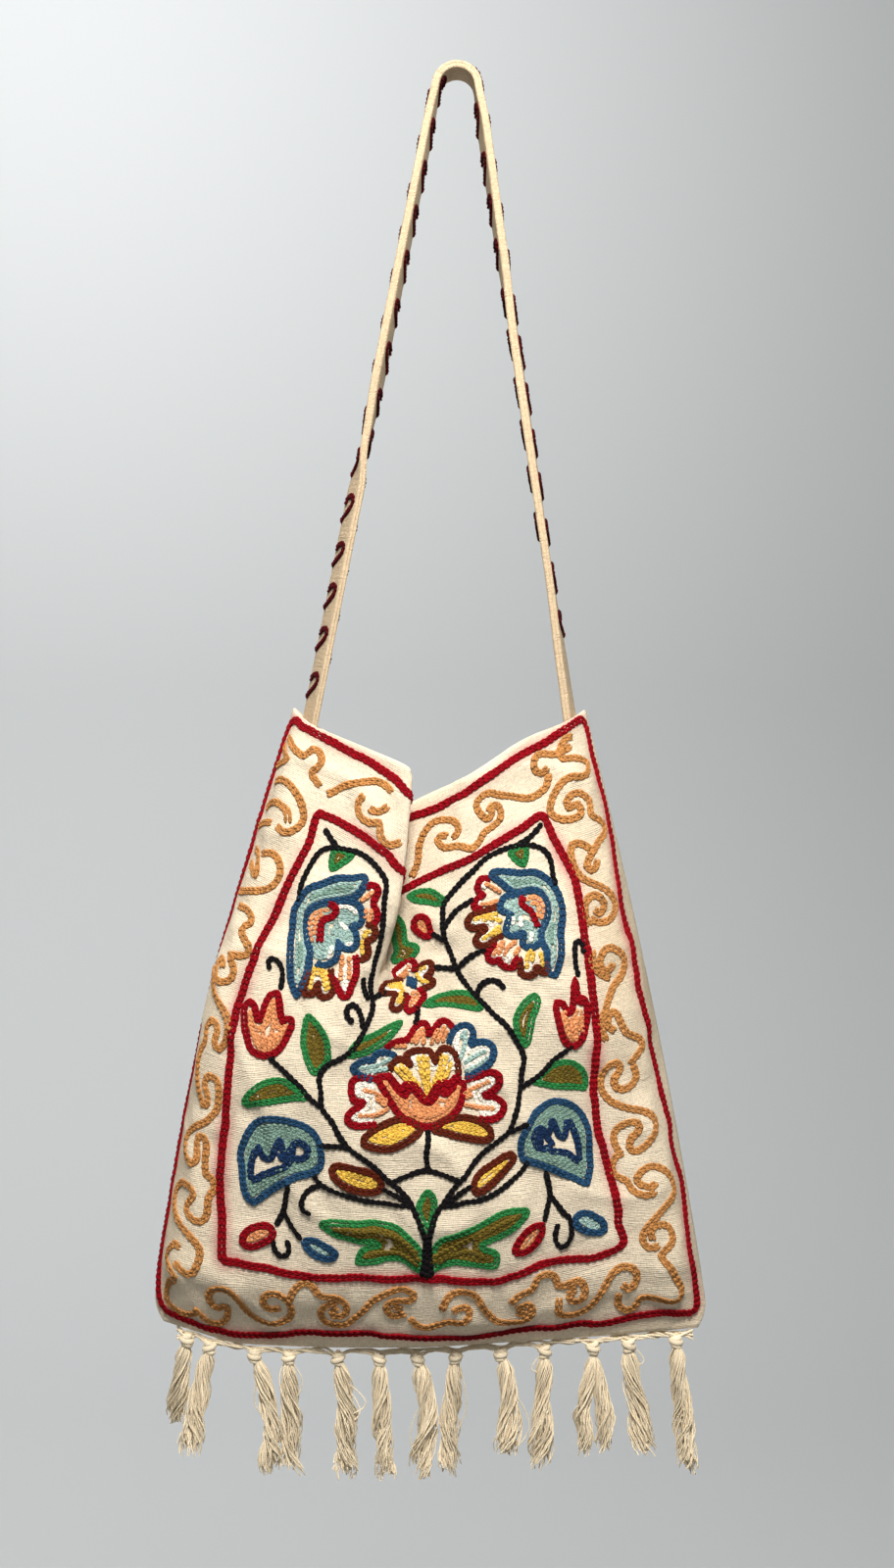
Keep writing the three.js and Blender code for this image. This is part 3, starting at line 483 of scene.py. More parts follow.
def charted_lines() -> list[Line]:
    """Gathers the rows that fill nothing.

    Returns:
        Every row of chain stitch that the chart gives point by point.
    """
    lines = []
    for thread, gauge, paths, closed in (
            (Thread.CRIMSON, Gauge.FRAME, (OUTER_FRAME, INNER_FRAME), True),
            (Thread.BLACK, Gauge.STEM, VINE, False),
            (Thread.TAN, Gauge.SCROLL, SCROLL, False),
            (Thread.INDIGO, Gauge.BOLD, CORE_EDGES, False),
            (Thread.NAVY, Gauge.BOLD, BUD_COMBS, True),
            (Thread.NAVY, Gauge.BOLD, BUD_BARS, False)):
        lines += [Line(thread, gauge, path, closed) for path in paths]
    for thread, paths in PETAL_ROWS:
        gauge = Gauge.INLAY if thread is Thread.CRIMSON else Gauge.RAY
        lines += [Line(thread, gauge, path) for path in paths]
    return lines


def charted_patches() -> list[Patch]:
    """Gathers the shapes whose filling follows their outline.

    Returns:
        The leaves, buds and petals of the chart.
    """
    patches = [Patch(Thread.GREEN, Gauge.FINE, (Thread.GREEN,), Thread.OLIVE, path) for path in LEAVES]
    patches += [Patch(Thread.INDIGO, Gauge.BOLD, (), Thread.GREY_TEAL, path, True, comb)
                for path, comb in zip(BIG_BUDS, BUD_COMBS)]
    for edge, rest, path in OVAL_BUDS:
        outline = path if edge is Thread.BROWN else drawn_in(path, BUD_SHARE)
        patches.append(Patch(edge, Gauge.BOLD, (), rest, outline))
    for path, closed in BROWN_PETALS:
        rest = Thread.YELLOW if closed else Thread.WHITE
        patches.append(Patch(Thread.BROWN, Gauge.BOLD, (), rest, path, closed))
    patches += [Patch(Thread.CRIMSON, Gauge.BOLD, (), Thread.WHITE, path, False) for path in CRIMSON_PETALS]
    patches += [Patch(Thread.CRIMSON, Gauge.BOLD, (), Thread.PEACH, path) for path in (*TULIPS, LOTUS_CUP)]
    patches += [Patch(Thread.INDIGO, Gauge.BOLD, (), Thread.WHITE, path, False) for path in INDIGO_PETALS]
    hood_rows = (Thread.TEAL, Thread.GREY_TEAL)
    patches += [Patch(Thread.INDIGO, Gauge.BOLD, hood_rows, Thread.TEAL, path) for path in HOODS]
    patches += [Patch(Thread.TEAL, Gauge.FINE, (), Thread.TEAL, path) for path in CORES]
    return patches


# Curves and noise

CURVE_STEPS = 12
ROW_TOLERANCE = 0.93
LATTICE_CELLS = 512
LATTICE_START = 200


def drawn_in(outline: Path, share: float) -> Path:
    """Draws an outline in towards its middle.

    Args:
        outline: The outline.
        share: What is left of its size.

    Returns:
        The smaller outline.
    """
    points = np.array(outline)
    middle = points.mean(axis=0)
    return tuple((x, y) for x, y in middle + (points - middle) * share)


def unit(vectors: np.ndarray) -> np.ndarray:
    """Scales vectors to length one."""
    return vectors / np.maximum(np.linalg.norm(vectors, axis=-1, keepdims=True), 1e-12)


def ramp(value: np.ndarray, start: float, end: float) -> np.ndarray:
    """Gives how far values lie from a start towards an end, from 0 to 1."""
    return np.clip((value - start) / (end - start), 0, 1)


def run_lengths(line: np.ndarray) -> np.ndarray:
    """Gives the way along a line up to each of its points."""
    return np.concatenate([[0.0], np.cumsum(np.linalg.norm(np.diff(line, axis=0), axis=1))])


def read_along(at: np.ndarray, places: Sequence[float], vectors: np.ndarray) -> np.ndarray:
    """Reads vectors that are kept along a line.

    Args:
        at: Where to read.
        places: Where the vectors are kept, in rising order.
        vectors: The vectors.

    Returns:
        The vectors there.
    """
    return np.stack([np.interp(at, places, column) for column in vectors.T], axis=1)


def hermite(share: np.ndarray | float, start: np.ndarray, end: np.ndarray, leave: np.ndarray,
            arrive: np.ndarray) -> np.ndarray:
    """Runs smoothly from one value to another.

    Args:
        share: How far along, from 0 to 1.
        start: The first value.
        end: The last value.
        leave: The slope at the first.
        arrive: The slope at the last.

    Returns:
        The value there.
    """
    return ((2 * share**3 - 3 * share**2 + 1) * start + (share**3 - 2 * share**2 + share) * leave
            + (3 * share**2 - 2 * share**3) * end + (share**3 - share**2) * arrive)


def smooth_path(points: Sequence[Sequence[float]], closed: bool, step: float) -> np.ndarray:
    """Draws a smooth line through charted points.

    Args:
        points: The charted points.
        closed: Whether the last point joins the first.
        step: Spacing of the result, in the points' unit.

    Returns:
        Evenly spaced points along the line; a closed one ends where it starts.
    """
    given = np.asarray(points, float)
    if closed:
        given = np.vstack([given[-1:], given, given[:2]])
    else:
        given = np.vstack([2 * given[:1] - given[1:2], given, 2 * given[-1:] - given[-2:-1]])
    share = np.linspace(0, 1, CURVE_STEPS, endpoint=False)[:, None]
    runs = [hermite(share, start, end, (end - before) / 2, (after - start) / 2)
            for before, start, end, after in zip(given, given[1:], given[2:], given[3:])]
    return spaced(np.vstack([*runs, given[-2:-1]]), step)


def spaced(line: np.ndarray, step: float) -> np.ndarray:
    """Spaces points evenly along a line.

    Args:
        line: Points in order.
        step: Wanted spacing.

    Returns:
        Points at the nearest even spacing, both ends kept.
    """
    lengths = run_lengths(line)
    count = max(2, int(round(lengths[-1] / step)) + 1)
    return read_along(np.linspace(0, lengths[-1], count), lengths, line)


def inner_rows(outline: np.ndarray, depth: float, shortest: float) -> list[np.ndarray]:
    """Finds the rows that lie a given depth inside a closed outline.

    Args:
        outline: Evenly spaced points of the outline, ending where it starts.
        depth: How far inside the rows lie.
        shortest: Rows shorter than this are dropped.

    Returns:
        The rows, each as points in order.
    """
    ring = outline[:-1]
    following = np.roll(ring, -1, axis=0)
    ahead = following - np.roll(ring, 1, axis=0)
    ahead /= np.linalg.norm(ahead, axis=1, keepdims=True)
    turning = np.sign(np.sum(ring[:, 0] * following[:, 1] - ring[:, 1] * following[:, 0]))
    inside = np.stack([-ahead[:, 1], ahead[:, 0]], axis=1) * turning
    moved = ring + inside * depth
    nearest = np.linalg.norm(moved[:, None, :] - ring[None, :, :], axis=2).min(axis=1)
    kept = nearest > depth * ROW_TOLERANCE
    if not kept.any():
        return []
    if kept.all():
        return [np.vstack([moved, moved[:1]])]
    rows, run = [], []
    for index in np.roll(np.arange(len(ring)), -int(np.argmin(kept))):
        if kept[index]:
            run.append(moved[index])
        elif run:
            rows.append(np.array(run))
            run = []
    if run:
        rows.append(np.array(run))
    return [row for row in rows if run_lengths(row)[-1] >= shortest]


def outside(rows: list[np.ndarray], hole: Path) -> list[np.ndarray]:
    """Keeps the parts of rows that lie outside a closed outline.

    Args:
        rows: Rows as points in order.
        hole: The outline.

    Returns:
        The parts that are left, each of two points or more.
    """
    ring = smooth_path(hole, True, 1.0)
    width, run = np.diff(ring, axis=0).T
    kept = []
    for row in rows:
        x, y = row[:, :1], row[:, 1:]
        rising = (ring[:-1, 1] > y) != (ring[1:, 1] > y)
        crossing = ring[:-1, 0] + (y - ring[:-1, 1]) * width / np.where(run == 0, 1, run)
        clear = (rising & (x < crossing)).sum(axis=1) % 2 == 0
        breaks = np.flatnonzero(np.diff(clear.astype(int))) + 1
        kept += [part for part, free in zip(np.split(row, breaks), np.split(clear, breaks)) if free[0]]
    return [part for part in kept if len(part) > 1]


def eased(at: np.ndarray, keys: Path) -> np.ndarray:
    """Reads keyed values with soft steps between the keys.

    Args:
        at: Where to read.
        keys: Places in rising order, each with its value.

    Returns:
        The values.
    """
    places, values = np.array(keys).T
    index = np.clip(np.searchsorted(places, at) - 1, 0, len(places) - 2)
    share = ramp(at, places[index], places[index + 1])
    return values[index] + (values[index + 1] - values[index]) * share * share * (3 - 2 * share)


@functools.cache
def lattice(seed: int) -> np.ndarray:
    """Makes the seeded values that soft noise runs between."""
    return np.random.default_rng(seed).uniform(-1, 1, (LATTICE_CELLS, LATTICE_CELLS))


def soft_noise(seed: int, cell: float, across: np.ndarray, up: np.ndarray) -> np.ndarray:
    """Gives smooth seeded noise over the flat cloth.

    Args:
        seed: Seed of the lattice.
        cell: Size of a lattice cell, in millimetres.
        across: Places across the cloth.
        up: Places up the cloth, of the same shape.

    Returns:
        Values from about -1 to 1.
    """
    column, row = across / cell + LATTICE_START, up / cell + LATTICE_START
    values = lattice(seed)
    left, low = np.floor(column).astype(int), np.floor(row).astype(int)
    x, y = column - left, row - low
    x, y = x * x * (3 - 2 * x), y * y * (3 - 2 * y)
    rows = [values[(low + down) % LATTICE_CELLS, left % LATTICE_CELLS] * (1 - x)
            + values[(low + down) % LATTICE_CELLS, (left + 1) % LATTICE_CELLS] * x for down in (0, 1)]
    return rows[0] * (1 - y) + rows[1] * y


# Hung cloth


class Seam(NamedTuple):
    """A side seam from the mouth to the bottom corner, in millimetres."""

    top_x: float
    top_z: float
    bottom_x: float
    bottom_z: float
    bow: float


class Section(NamedTuple):
    """Where a hung panel's folds lie at a height of the flat cloth, in millimetres."""

    height: float
    left_in: float
    left_drop: float
    lip_flat: float
    lip_x: float
    lip_y: float
    lip_z: float
    turn_flat: float
    turn_x: float
    turn_y: float
    turn_z: float
    crest_flat: float
    crest_x: float
    crest_y: float
    crest_z: float
    right_in: float
    right_drop: float


FRONT_SECTIONS: tuple[Section, ...] = (
    Section(376, 33, 20, -66, -21, -51, -428, -6, -70, -1, -466, 80, 8, -32, -430, 37, 17),
    Section(324, 34, 16, -54, -24, -53, -485, -12, -61, -14, -509, 72, 13, -42, -475, 38, 13),
    Section(295, 31.5, 16, -54, -33, -52, -508, -12, -53, -18, -529, 68.5, 16.5, -45.5, -498.5, 35, 15),
    Section(265, 28, 16, -54, -43, -52, -531, -10, -44, -20, -547, 66, 20, -48, -523, 32, 17),
    Section(205, 21, 11, -60, -69, -54, -573, 0, -24, -39, -577, 62, 27, -50, -574, 33, 14),
    Section(130, 30, 7, -60, -74, -52, -646, 0, -16, -48, -650, 60, 35, -46, -645, 41, 9),
    Section(51, 39, 8, -60, -76, -35, -728, 0, -18, -33, -729, 60, 40, -31, -725, 42, -3),
    Section(18, 43, 12, -60, -78, -15, -762, 0, -17, -15, -763, 60, 43, -14, -759, 44, 2),
    Section(0, 44, 14, -60, -79, 0, -779, 0, -18, 0, -779, 60, 43, 0, -775, 44, 4),
)
BACK_SECTIONS: tuple[Section, ...] = (
    Section(376, 36, 22, -62, -46, 29, -438, 0, -16, 10, -466, 62, 18, 30, -442, 38, 20),
    Section(265, 33, 16, -60, -58, 32, -527, 0, -16, 22, -540, 62, 26, 32, -530, 34, 16),
    Section(130, 40, 9, -60, -74, 29, -644, 0, -16, 29, -649, 60, 36, 29, -643, 42, 8),
    Section(51, 42, 9, -60, -77, 20, -723, 0, -18, 21, -726, 60, 41, 20, -722, 44, 2),
    Section(18, 43, 12, -60, -78, 9, -762, 0, -17, 9, -763, 60, 43, 9, -759, 44, 2),
    Section(0, 44, 14, -60, -79, 0, -779, 0, -18, 0, -779, 60, 43, 0, -775, 44, 4),
)


@dataclass
class Cloth:
    """How a panel was cut and how it hangs, in millimetres. side is -1 for the front and 1 for the back."""

    side: float
    sections: tuple[Section, ...]
    seed: int
    width: float = 344.0
    height: float = 376.0
    thickness: float = 1.5
    border_width: float = 51.0
    border_chord: float = 47.5
    border_bow: float = 13.0
    fold_softness: float = 20.0
    bottom_rounding: float = 40.0
    corner_height: float = 18.0
    corner_pull: float = 7.0
    seam_setback: float = 0.95
    softening_steps: int = 5
    pitch: float = 2.4
    pucker: float = 1.5
    pucker_margin: float = 22.0
    broad_share: float = 1.7
    broad_cell: float = 42.0
    small_share: float = 0.7
    small_cell: float = 12.0
    small_squeeze: float = 1.4
    crease_share: float = 1.5
    crease_cell: float = 55.0
    crease_slant: float = 0.5
    crease_sharpness: int = 5
    left_seam: Seam = Seam(-99, -389, -186, -763, -10)
    right_seam: Seam = Seam(78, -390, 154, -767, 5)
    across: np.ndarray = field(init=False)
    up: np.ndarray = field(init=False)
    points: np.ndarray = field(init=False)
    normals: np.ndarray = field(init=False)

    def __post_init__(self) -> None:
        """Works out the hung surface once, as a grid of points and outward directions in metres."""
        self.across = np.linspace(-self.half, self.half, int(round(self.width / self.pitch)) + 1)
        self.up = np.linspace(0, self.height, int(round(self.height / self.pitch)) + 1)
        self.points = np.array([self.hung_row(height, self.across) for height in self.up]) * MM
        self.points[..., 1] += self.side * self.seam_setback * MM
        flat, height = np.meshgrid(self.across, self.up)
        self.points += self.grid_normals() * (self.wrinkles(flat, height) * MM)[..., None]
        self.normals = self.grid_normals()

    @property
    def half(self) -> float:
        """Half of the cut width."""
        return self.width / 2

    def section_at(self, height: float) -> Section:
        """Reads a smooth section between the rows of the table.

        Args:
            height: Height on the flat cloth.

        Returns:
            The section there.
        """
        rows = np.array(self.sections)
        last = len(rows) - 1
        index = 0
        while index < last - 1 and height < rows[index + 1, 0]:
            index += 1
        start, end = rows[index], rows[index + 1]
        before, after = rows[max(index - 1, 0)], rows[min(index + 2, last)]
        span = end[0] - start[0]
        leave = (end - before) / (end[0] - before[0]) * span
        arrive = (after - start) / (after[0] - start[0]) * span
        return Section(*hermite((height - start[0]) / span, start, end, leave, arrive))

    def seam_place(self, seam: Seam, height: float) -> np.ndarray:
        """Places a side seam; the bottom corner pulls it in.

        Args:
            seam: The seam.
            height: Height on the flat cloth.

        Returns:
            The hung place, in millimetres.
        """
        down = 1 - height / self.height
        pull = self.corner_pull * max(0.0, 1 - height / self.corner_height) ** 2
        straight = seam.top_x + (seam.bottom_x - seam.top_x) * down
        x = straight + 4 * seam.bow * down * (1 - down) - math.copysign(pull, seam.bottom_x)
        return np.array([x, 0.0, seam.top_z + (seam.bottom_z - seam.top_z) * down])

    def border_places(self, seam: np.ndarray, inward: float, drop: float,
                      fullness: float) -> list[np.ndarray]:
        """Places the middle and the inner fold of a border.

        Args:
            seam: Hung place of its seam.
            inward: How far in its fold lies.
            drop: How far down its fold lies.
            fullness: 1 for a full bow, less towards the bottom seam.

        Returns:
            The middle and the fold, in millimetres.
        """
        outward = math.copysign(1.0, seam[0])
        depth = math.sqrt(max(self.border_chord**2 - inward**2 - drop**2, 0)) * fullness
        fold = np.array([seam[0] - outward * inward, self.side * depth, seam[2] - drop])
        middle = (seam + fold) / 2
        across, deep = abs(fold[0] - seam[0]), abs(fold[1] - seam[1])
        bow = self.border_bow * fullness / math.hypot(across, deep)
        middle[0] += outward * deep * bow
        middle[1] += self.side * across * bow
        return [middle, fold]

    def hung_row(self, height: float, flat: np.ndarray) -> np.ndarray:
        """Places points of one height of the flat cloth, with its folds rounded off.

        Args:
            height: Height on the flat cloth.
            flat: Places across it.

        Returns:
            The hung places, in millimetres.
        """
        section = self.section_at(height)
        fullness = min(1.0, height / self.bottom_rounding)
        left, right = self.seam_place(self.left_seam, height), self.seam_place(self.right_seam, height)
        left_middle, left_fold = self.border_places(left, section.left_in, section.left_drop, fullness)
        right_middle, right_fold = self.border_places(right, section.right_in, section.right_drop, fullness)
        inner = self.half - self.border_width
        middle = self.half - self.border_width / 2
        flats = (-self.half, -middle, -inner, section.lip_flat, section.turn_flat, section.crest_flat, inner,
                 middle, self.half)
        places = np.array([
            left, left_middle, left_fold,
            (section.lip_x, section.lip_y, section.lip_z),
            (section.turn_x, section.turn_y, section.turn_z),
            (section.crest_x, section.crest_y, section.crest_z),
            right_fold, right_middle, right])
        total, weights = np.zeros((len(flat), 3)), 0.0
        for step in range(-self.softening_steps, self.softening_steps + 1):
            weight = 1 + math.cos(math.pi * step / (self.softening_steps + 1))
            wanted = flat + self.fold_softness * step / self.softening_steps
            kept = np.clip(wanted, -self.half, self.half)
            mirrored = read_along(2 * kept - wanted, flats, places)
            ends = np.where((wanted > 0)[:, None], right, left)
            total += weight * np.where((wanted == kept)[:, None], mirrored, 2 * ends - mirrored)
            weights += weight
        return total / weights

    def grid_normals(self) -> np.ndarray:
        """Gives the outward direction at each grid point."""
        across, up = np.gradient(self.points, axis=1), np.gradient(self.points, axis=0)
        return unit(np.cross(across, up)) * -self.side

    def wrinkles(self, flat: np.ndarray, height: np.ndarray) -> np.ndarray:
        """Gives the small puckers of worn cloth, none at the seams.

        Args:
            flat: Places across the cloth.
            height: Heights on it.

        Returns:
            How far the cloth stands out, in millimetres.
        """
        fade = ramp(np.minimum(self.half - np.abs(flat), height), 0, self.pucker_margin)
        broad = soft_noise(self.seed, self.broad_cell, flat, height)
        small = soft_noise(self.seed + 1, self.small_cell, flat * self.small_squeeze, height)
        ridges = soft_noise(self.seed + 2, self.crease_cell, flat + height * self.crease_slant, height)
        creases = (1 - np.abs(ridges)) ** self.crease_sharpness
        return fade * self.pucker * (self.broad_share * broad + self.small_share * small
                                     + self.crease_share * creases)

    def sample(self, grid: np.ndarray, flat: np.ndarray, height: np.ndarray) -> np.ndarray:
        """Reads a grid of vectors at places on the flat cloth.

        Args:
            grid: Vectors on the surface grid.
            flat: Places across the cloth.
            height: Heights on it.

        Returns:
            The vectors there.
        """
        column = np.clip((flat + self.half) / self.width, 0, 1) * (len(self.across) - 1)
        row = np.clip(height / self.height, 0, 1) * (len(self.up) - 1)
        left = np.minimum(column.astype(int), len(self.across) - 2)
        low = np.minimum(row.astype(int), len(self.up) - 2)
        x, y = (column - left)[:, None], (row - low)[:, None]
        below = grid[low, left] * (1 - x) + grid[low, left + 1] * x
        above = grid[low + 1, left] * (1 - x) + grid[low + 1, left + 1] * x
        return below * (1 - y) + above * y

    def bottom_seam(self, flat: np.ndarray) -> np.ndarray:
        """Gives the bottom seam at places across the cloth, in millimetres."""
        return self.hung_row(0.0, np.atleast_1d(np.asarray(flat, float)))


# Node trees

NOISE_RANGE = (0.3, 0.7)
VECTOR = "FLOAT_VECTOR"


class TreeKind(Enum):
    """The two kinds of node tree that are made here."""

    SHADER = "ShaderNodeTree"
    GEOMETRY = "GeometryNodeTree"


class Streak(NamedTuple):
    """A noise in the weave: how fine it is each way, and the shades that it runs between."""

    scale: Place
    darkest: float
    lightest: float


STREAKS = (
    Streak((300.0, 1400.0, 1.0), 0.85, 1.08), Streak((1400.0, 300.0, 1.0), 0.85, 1.08),
    Streak((60.0, 600.0, 1.0), 0.96, 1.03), Streak((22.0, 22.0, 1.0), 0.95, 1.03),
)


def linear(colour: Sequence[float]) -> tuple[float, float, float, float]:
    """Turns a screen colour of 255 into linear values with full alpha."""
    shares = [value / 255 for value in colour]
    red, green, blue = [s / 12.92 if s <= 0.04045 else ((s + 0.055) / 1.055) ** 2.4 for s in shares]
    return red, green, blue, 1.0


@dataclass
class Nodes:
    """Adds nodes and links to one node tree."""

    tree: bpy.types.NodeTree

    def feed(self, node: bpy.types.Node, values: dict) -> None:
        """Sets a node's inputs.

        Args:
            node: The node.
            values: Input values or the sockets that feed them, by input name or number.
        """
        for key, value in values.items():
            if isinstance(value, bpy.types.NodeSocket):
                self.tree.links.new(value, node.inputs[key])
            else:
                node.inputs[key].default_value = value

    def add(self, kind: str, values: dict | None = None, **settings: object) -> bpy.types.Node:
        """Adds a node.

        Args:
            kind: The node's type.
            values: Input values or the sockets that feed them, by input name or number.
            settings: The node's own properties.

        Returns:
            The node.
        """
        node = self.tree.nodes.new(kind)
        for name, setting in settings.items():
            setattr(node, name, setting)
        self.feed(node, values or {})
        return node

    def math(self, operation: str, *values: object) -> bpy.types.NodeSocket:
        """Adds a Math node and returns its result."""
        return self.add("ShaderNodeMath", dict(enumerate(values)), operation=operation).outputs[0]

    def scaled(self, vector: object, factor: object) -> bpy.types.NodeSocket:
        """Adds a node that multiplies two vectors and returns its result."""
        return self.add("ShaderNodeVectorMath", {0: vector, 1: factor}, operation="MULTIPLY").outputs[0]

    def remap(self, value: object, *limits: float) -> bpy.types.NodeSocket:
        """Adds a Map Range node for the limits from and to, and returns its result."""
        return self.add("ShaderNodeMapRange", dict(enumerate((value, *limits)))).outputs[0]

    def noise(self, place: object, scale: object, detail: float) -> bpy.types.NodeSocket:
        """Adds a Noise Texture node and returns its value."""
        return self.add("ShaderNodeTexNoise", {"Vector": place, "Scale": scale, "Detail": detail}).outputs[0]

    def mixed(self, share: object, first: object, second: object) -> bpy.types.NodeSocket:
        """Adds a node that mixes two colours and returns its result."""
        return self.add("ShaderNodeMix", {0: share, 6: first, 7: second}, data_type="RGBA").outputs[2]

    def stored(self, name: str) -> bpy.types.NodeSocket:
        """Adds a shader node that reads a stored value, and returns the value."""
        return self.add("ShaderNodeAttribute", attribute_name=name).outputs["Fac"]

    def named(self, name: str, kind: str) -> bpy.types.NodeSocket:
        """Adds a geometry node that reads a stored value, and returns the value."""
        reader = self.add("GeometryNodeInputNamedAttribute", {"Name": name}, data_type=kind)
        return reader.outputs["Attribute"]

    def random(self, low: object, high: object, seed: object) -> bpy.types.NodeSocket:
        """Adds a Random Value node and returns its value."""
        values = {2: low, 3: high, "Seed": seed}
        return self.add("FunctionNodeRandomValue", values, data_type="FLOAT").outputs[1]

    def dressed(self, geometry: object, thread: object) -> bpy.types.NodeSocket:
        """Adds the nodes that make instances real and set their material, and returns the mesh."""
        real = self.add("GeometryNodeRealizeInstances", {0: geometry}).outputs[0]
        return self.add("GeometryNodeSetMaterial", {"Geometry": real, "Material": thread}).outputs[0]


def new_tree(name: str, kind: TreeKind, inputs: dict[str, str],
             outputs: dict[str, str]) -> tuple[Nodes, dict[str, bpy.types.NodeSocket], bpy.types.Node]:
    """Starts a node tree.

    Args:
        name: Its name.
        kind: Its kind.
        inputs: Kinds of socket by input name.
        outputs: Kinds of socket by output name.

    Returns:
        The node adder, the input sockets by name, and the output node.
    """
    tree = bpy.data.node_groups.new(name, kind.value)
    for direction, sockets in (("INPUT", inputs), ("OUTPUT", outputs)):
        for socket, what in sockets.items():
            tree.interface.new_socket(socket, in_out=direction, socket_type=f"NodeSocket{what}")
    nodes = Nodes(tree)
    given = nodes.add("NodeGroupInput")
    return nodes, {socket: given.outputs[socket] for socket in inputs}, nodes.add("NodeGroupOutput")


@functools.cache
def fibre_group() -> bpy.types.NodeTree:
    """Makes the group for loose fibres: an uneven shade and a fine height."""
    finer, darkest, lightest = 2.7, 0.82, 1.12
    nodes, given, result = new_tree(
        "loose_fibre", TreeKind.SHADER, {"Place": "Vector", "Fineness": "Float"},
        {"Shade": "Float", "Height": "Float"})
    broad = nodes.noise(given["Place"], given["Fineness"], 3.0)
    fine = nodes.noise(given["Place"], nodes.math("MULTIPLY", given["Fineness"], finer), 2.0)
    nodes.feed(result, {"Shade": nodes.remap(broad, *NOISE_RANGE, darkest, lightest), "Height": fine})
    return nodes.tree


@functools.cache
def twill_group() -> bpy.types.NodeTree:
    """Makes the group for cotton weave: faint ribs, thicker threads and blotches, as a shade and a height."""
    wander_scale, wander_share, rib_height, rib_shades = 90.0, 0.35, 0.16, (0.985, 1.01)
    nodes, given, result = new_tree(
        "ribbed_weave", TreeKind.SHADER, {"Place": "Vector", "Ribs": "Float", "Slant": "Float"},
        {"Shade": "Float", "Height": "Float"})
    split = nodes.add("ShaderNodeSeparateXYZ", {0: given["Place"]})
    wander = nodes.math("MULTIPLY", nodes.noise(given["Place"], wander_scale, 1.0), wander_share)
    leaning = nodes.math("MULTIPLY_ADD", split.outputs[0], given["Slant"], split.outputs[1])
    phase = nodes.math("MULTIPLY_ADD", leaning, given["Ribs"], wander)
    rib = nodes.math("SINE", nodes.math("MULTIPLY", phase, math.tau))
    height = nodes.math("MULTIPLY", rib, rib_height)
    shade = nodes.remap(rib, -1.0, 1.0, *rib_shades)
    for streak in STREAKS:
        noise = nodes.noise(nodes.scaled(given["Place"], streak.scale), 1.0, 2.0)
        tone = nodes.remap(noise, *NOISE_RANGE, streak.darkest, streak.lightest)
        shade = nodes.math("MULTIPLY", shade, tone)
        height = nodes.math("ADD", height, noise)
    nodes.feed(result, {"Shade": shade, "Height": height})
    return nodes.tree


@functools.cache
def stitch_tree() -> bpy.types.NodeTree:
    """Makes the tree that sets a chain link on each stitch point, along its row and off the cloth."""
    darkest, lightest = 0.84, 1.1
    nodes, given, result = new_tree(
        "chain_stitches", TreeKind.GEOMETRY,
        {"Geometry": "Geometry", "Link": "Object", "Unevenness": "Float", "Seed": "Int",
         "Thread": "Material"},
        {"Geometry": "Geometry"})
    ways = {0: nodes.named("along", VECTOR), 1: nodes.named("outward", VECTOR)}
    turned = nodes.add("FunctionNodeAxesToRotation", ways, primary_axis="X", secondary_axis="Z").outputs[0]
    smallest = nodes.math("SUBTRACT", 1.0, given["Unevenness"])
    largest = nodes.math("ADD", 1.0, given["Unevenness"])
    scale = nodes.scaled(nodes.named("size", VECTOR), nodes.random(smallest, largest, given["Seed"]))
    link = nodes.add("GeometryNodeObjectInfo", {"Object": given["Link"]}).outputs["Geometry"]
    placed = nodes.add("GeometryNodeInstanceOnPoints", {
        "Points": given["Geometry"], "Instance": link, "Rotation": turned, "Scale": scale}).outputs[0]
    toned = nodes.random(darkest, lightest, given["Seed"])
    marked = nodes.add("GeometryNodeStoreNamedAttribute", {
        "Geometry": placed, "Name": "tone", "Value": toned}, data_type="FLOAT", domain="INSTANCE").outputs[0]
    nodes.feed(result, {0: nodes.dressed(marked, given["Thread"])})
    return nodes.tree


@functools.cache
def strand_tree() -> bpy.types.NodeTree:
    """Makes the tree that turns lines into round threads."""
    nodes, given, result = new_tree(
        "threads", TreeKind.GEOMETRY,
        {"Geometry": "Geometry", "Thickness": "Float", "Sides": "Int", "Thread": "Material"},
        {"Geometry": "Geometry"})
    curves = nodes.add("GeometryNodeMeshToCurve", {0: given["Geometry"]}).outputs[0]
    girth = nodes.named("girth", "FLOAT")
    sized = nodes.add("GeometryNodeSetCurveRadius", {"Curve": curves, "Radius": girth}).outputs[0]
    half = nodes.math("MULTIPLY", given["Thickness"], 0.5)
    ring = nodes.add("GeometryNodeCurvePrimitiveCircle", {"Resolution": given["Sides"], "Radius": half})
    tubes = nodes.add("GeometryNodeCurveToMesh", {
        "Curve": sized, "Profile Curve": ring.outputs[0], "Fill Caps": True}).outputs[0]
    smooth = nodes.add("GeometryNodeSetShadeSmooth", {0: tubes}).outputs[0]
    nodes.feed(result, {0: nodes.dressed(smooth, given["Thread"])})
    return nodes.tree


def grown(piece: bpy.types.Object, tree: bpy.types.NodeTree, values: dict[str, object]) -> bpy.types.Object:
    """Runs a geometry node tree on an object and keeps the result as its plain mesh.

    Args:
        piece: The object.
        tree: The tree.
        values: Its inputs by name.

    Returns:
        The same object with its new mesh.
    """
    modifier = piece.modifiers.new(tree.name, "NODES")
    modifier.node_group = tree
    for socket in tree.interface.items_tree:
        if socket.in_out == "INPUT" and socket.name in values:
            modifier[socket.identifier] = values[socket.name]
    depsgraph = bpy.context.evaluated_depsgraph_get()
    mesh = bpy.data.meshes.new_from_object(piece.evaluated_get(depsgraph), depsgraph=depsgraph)
    piece.modifiers.remove(modifier)
    seed_mesh = piece.data
    piece.data = mesh
    bpy.data.meshes.remove(seed_mesh)
    mesh.name = piece.name
    return piece


# Finishes


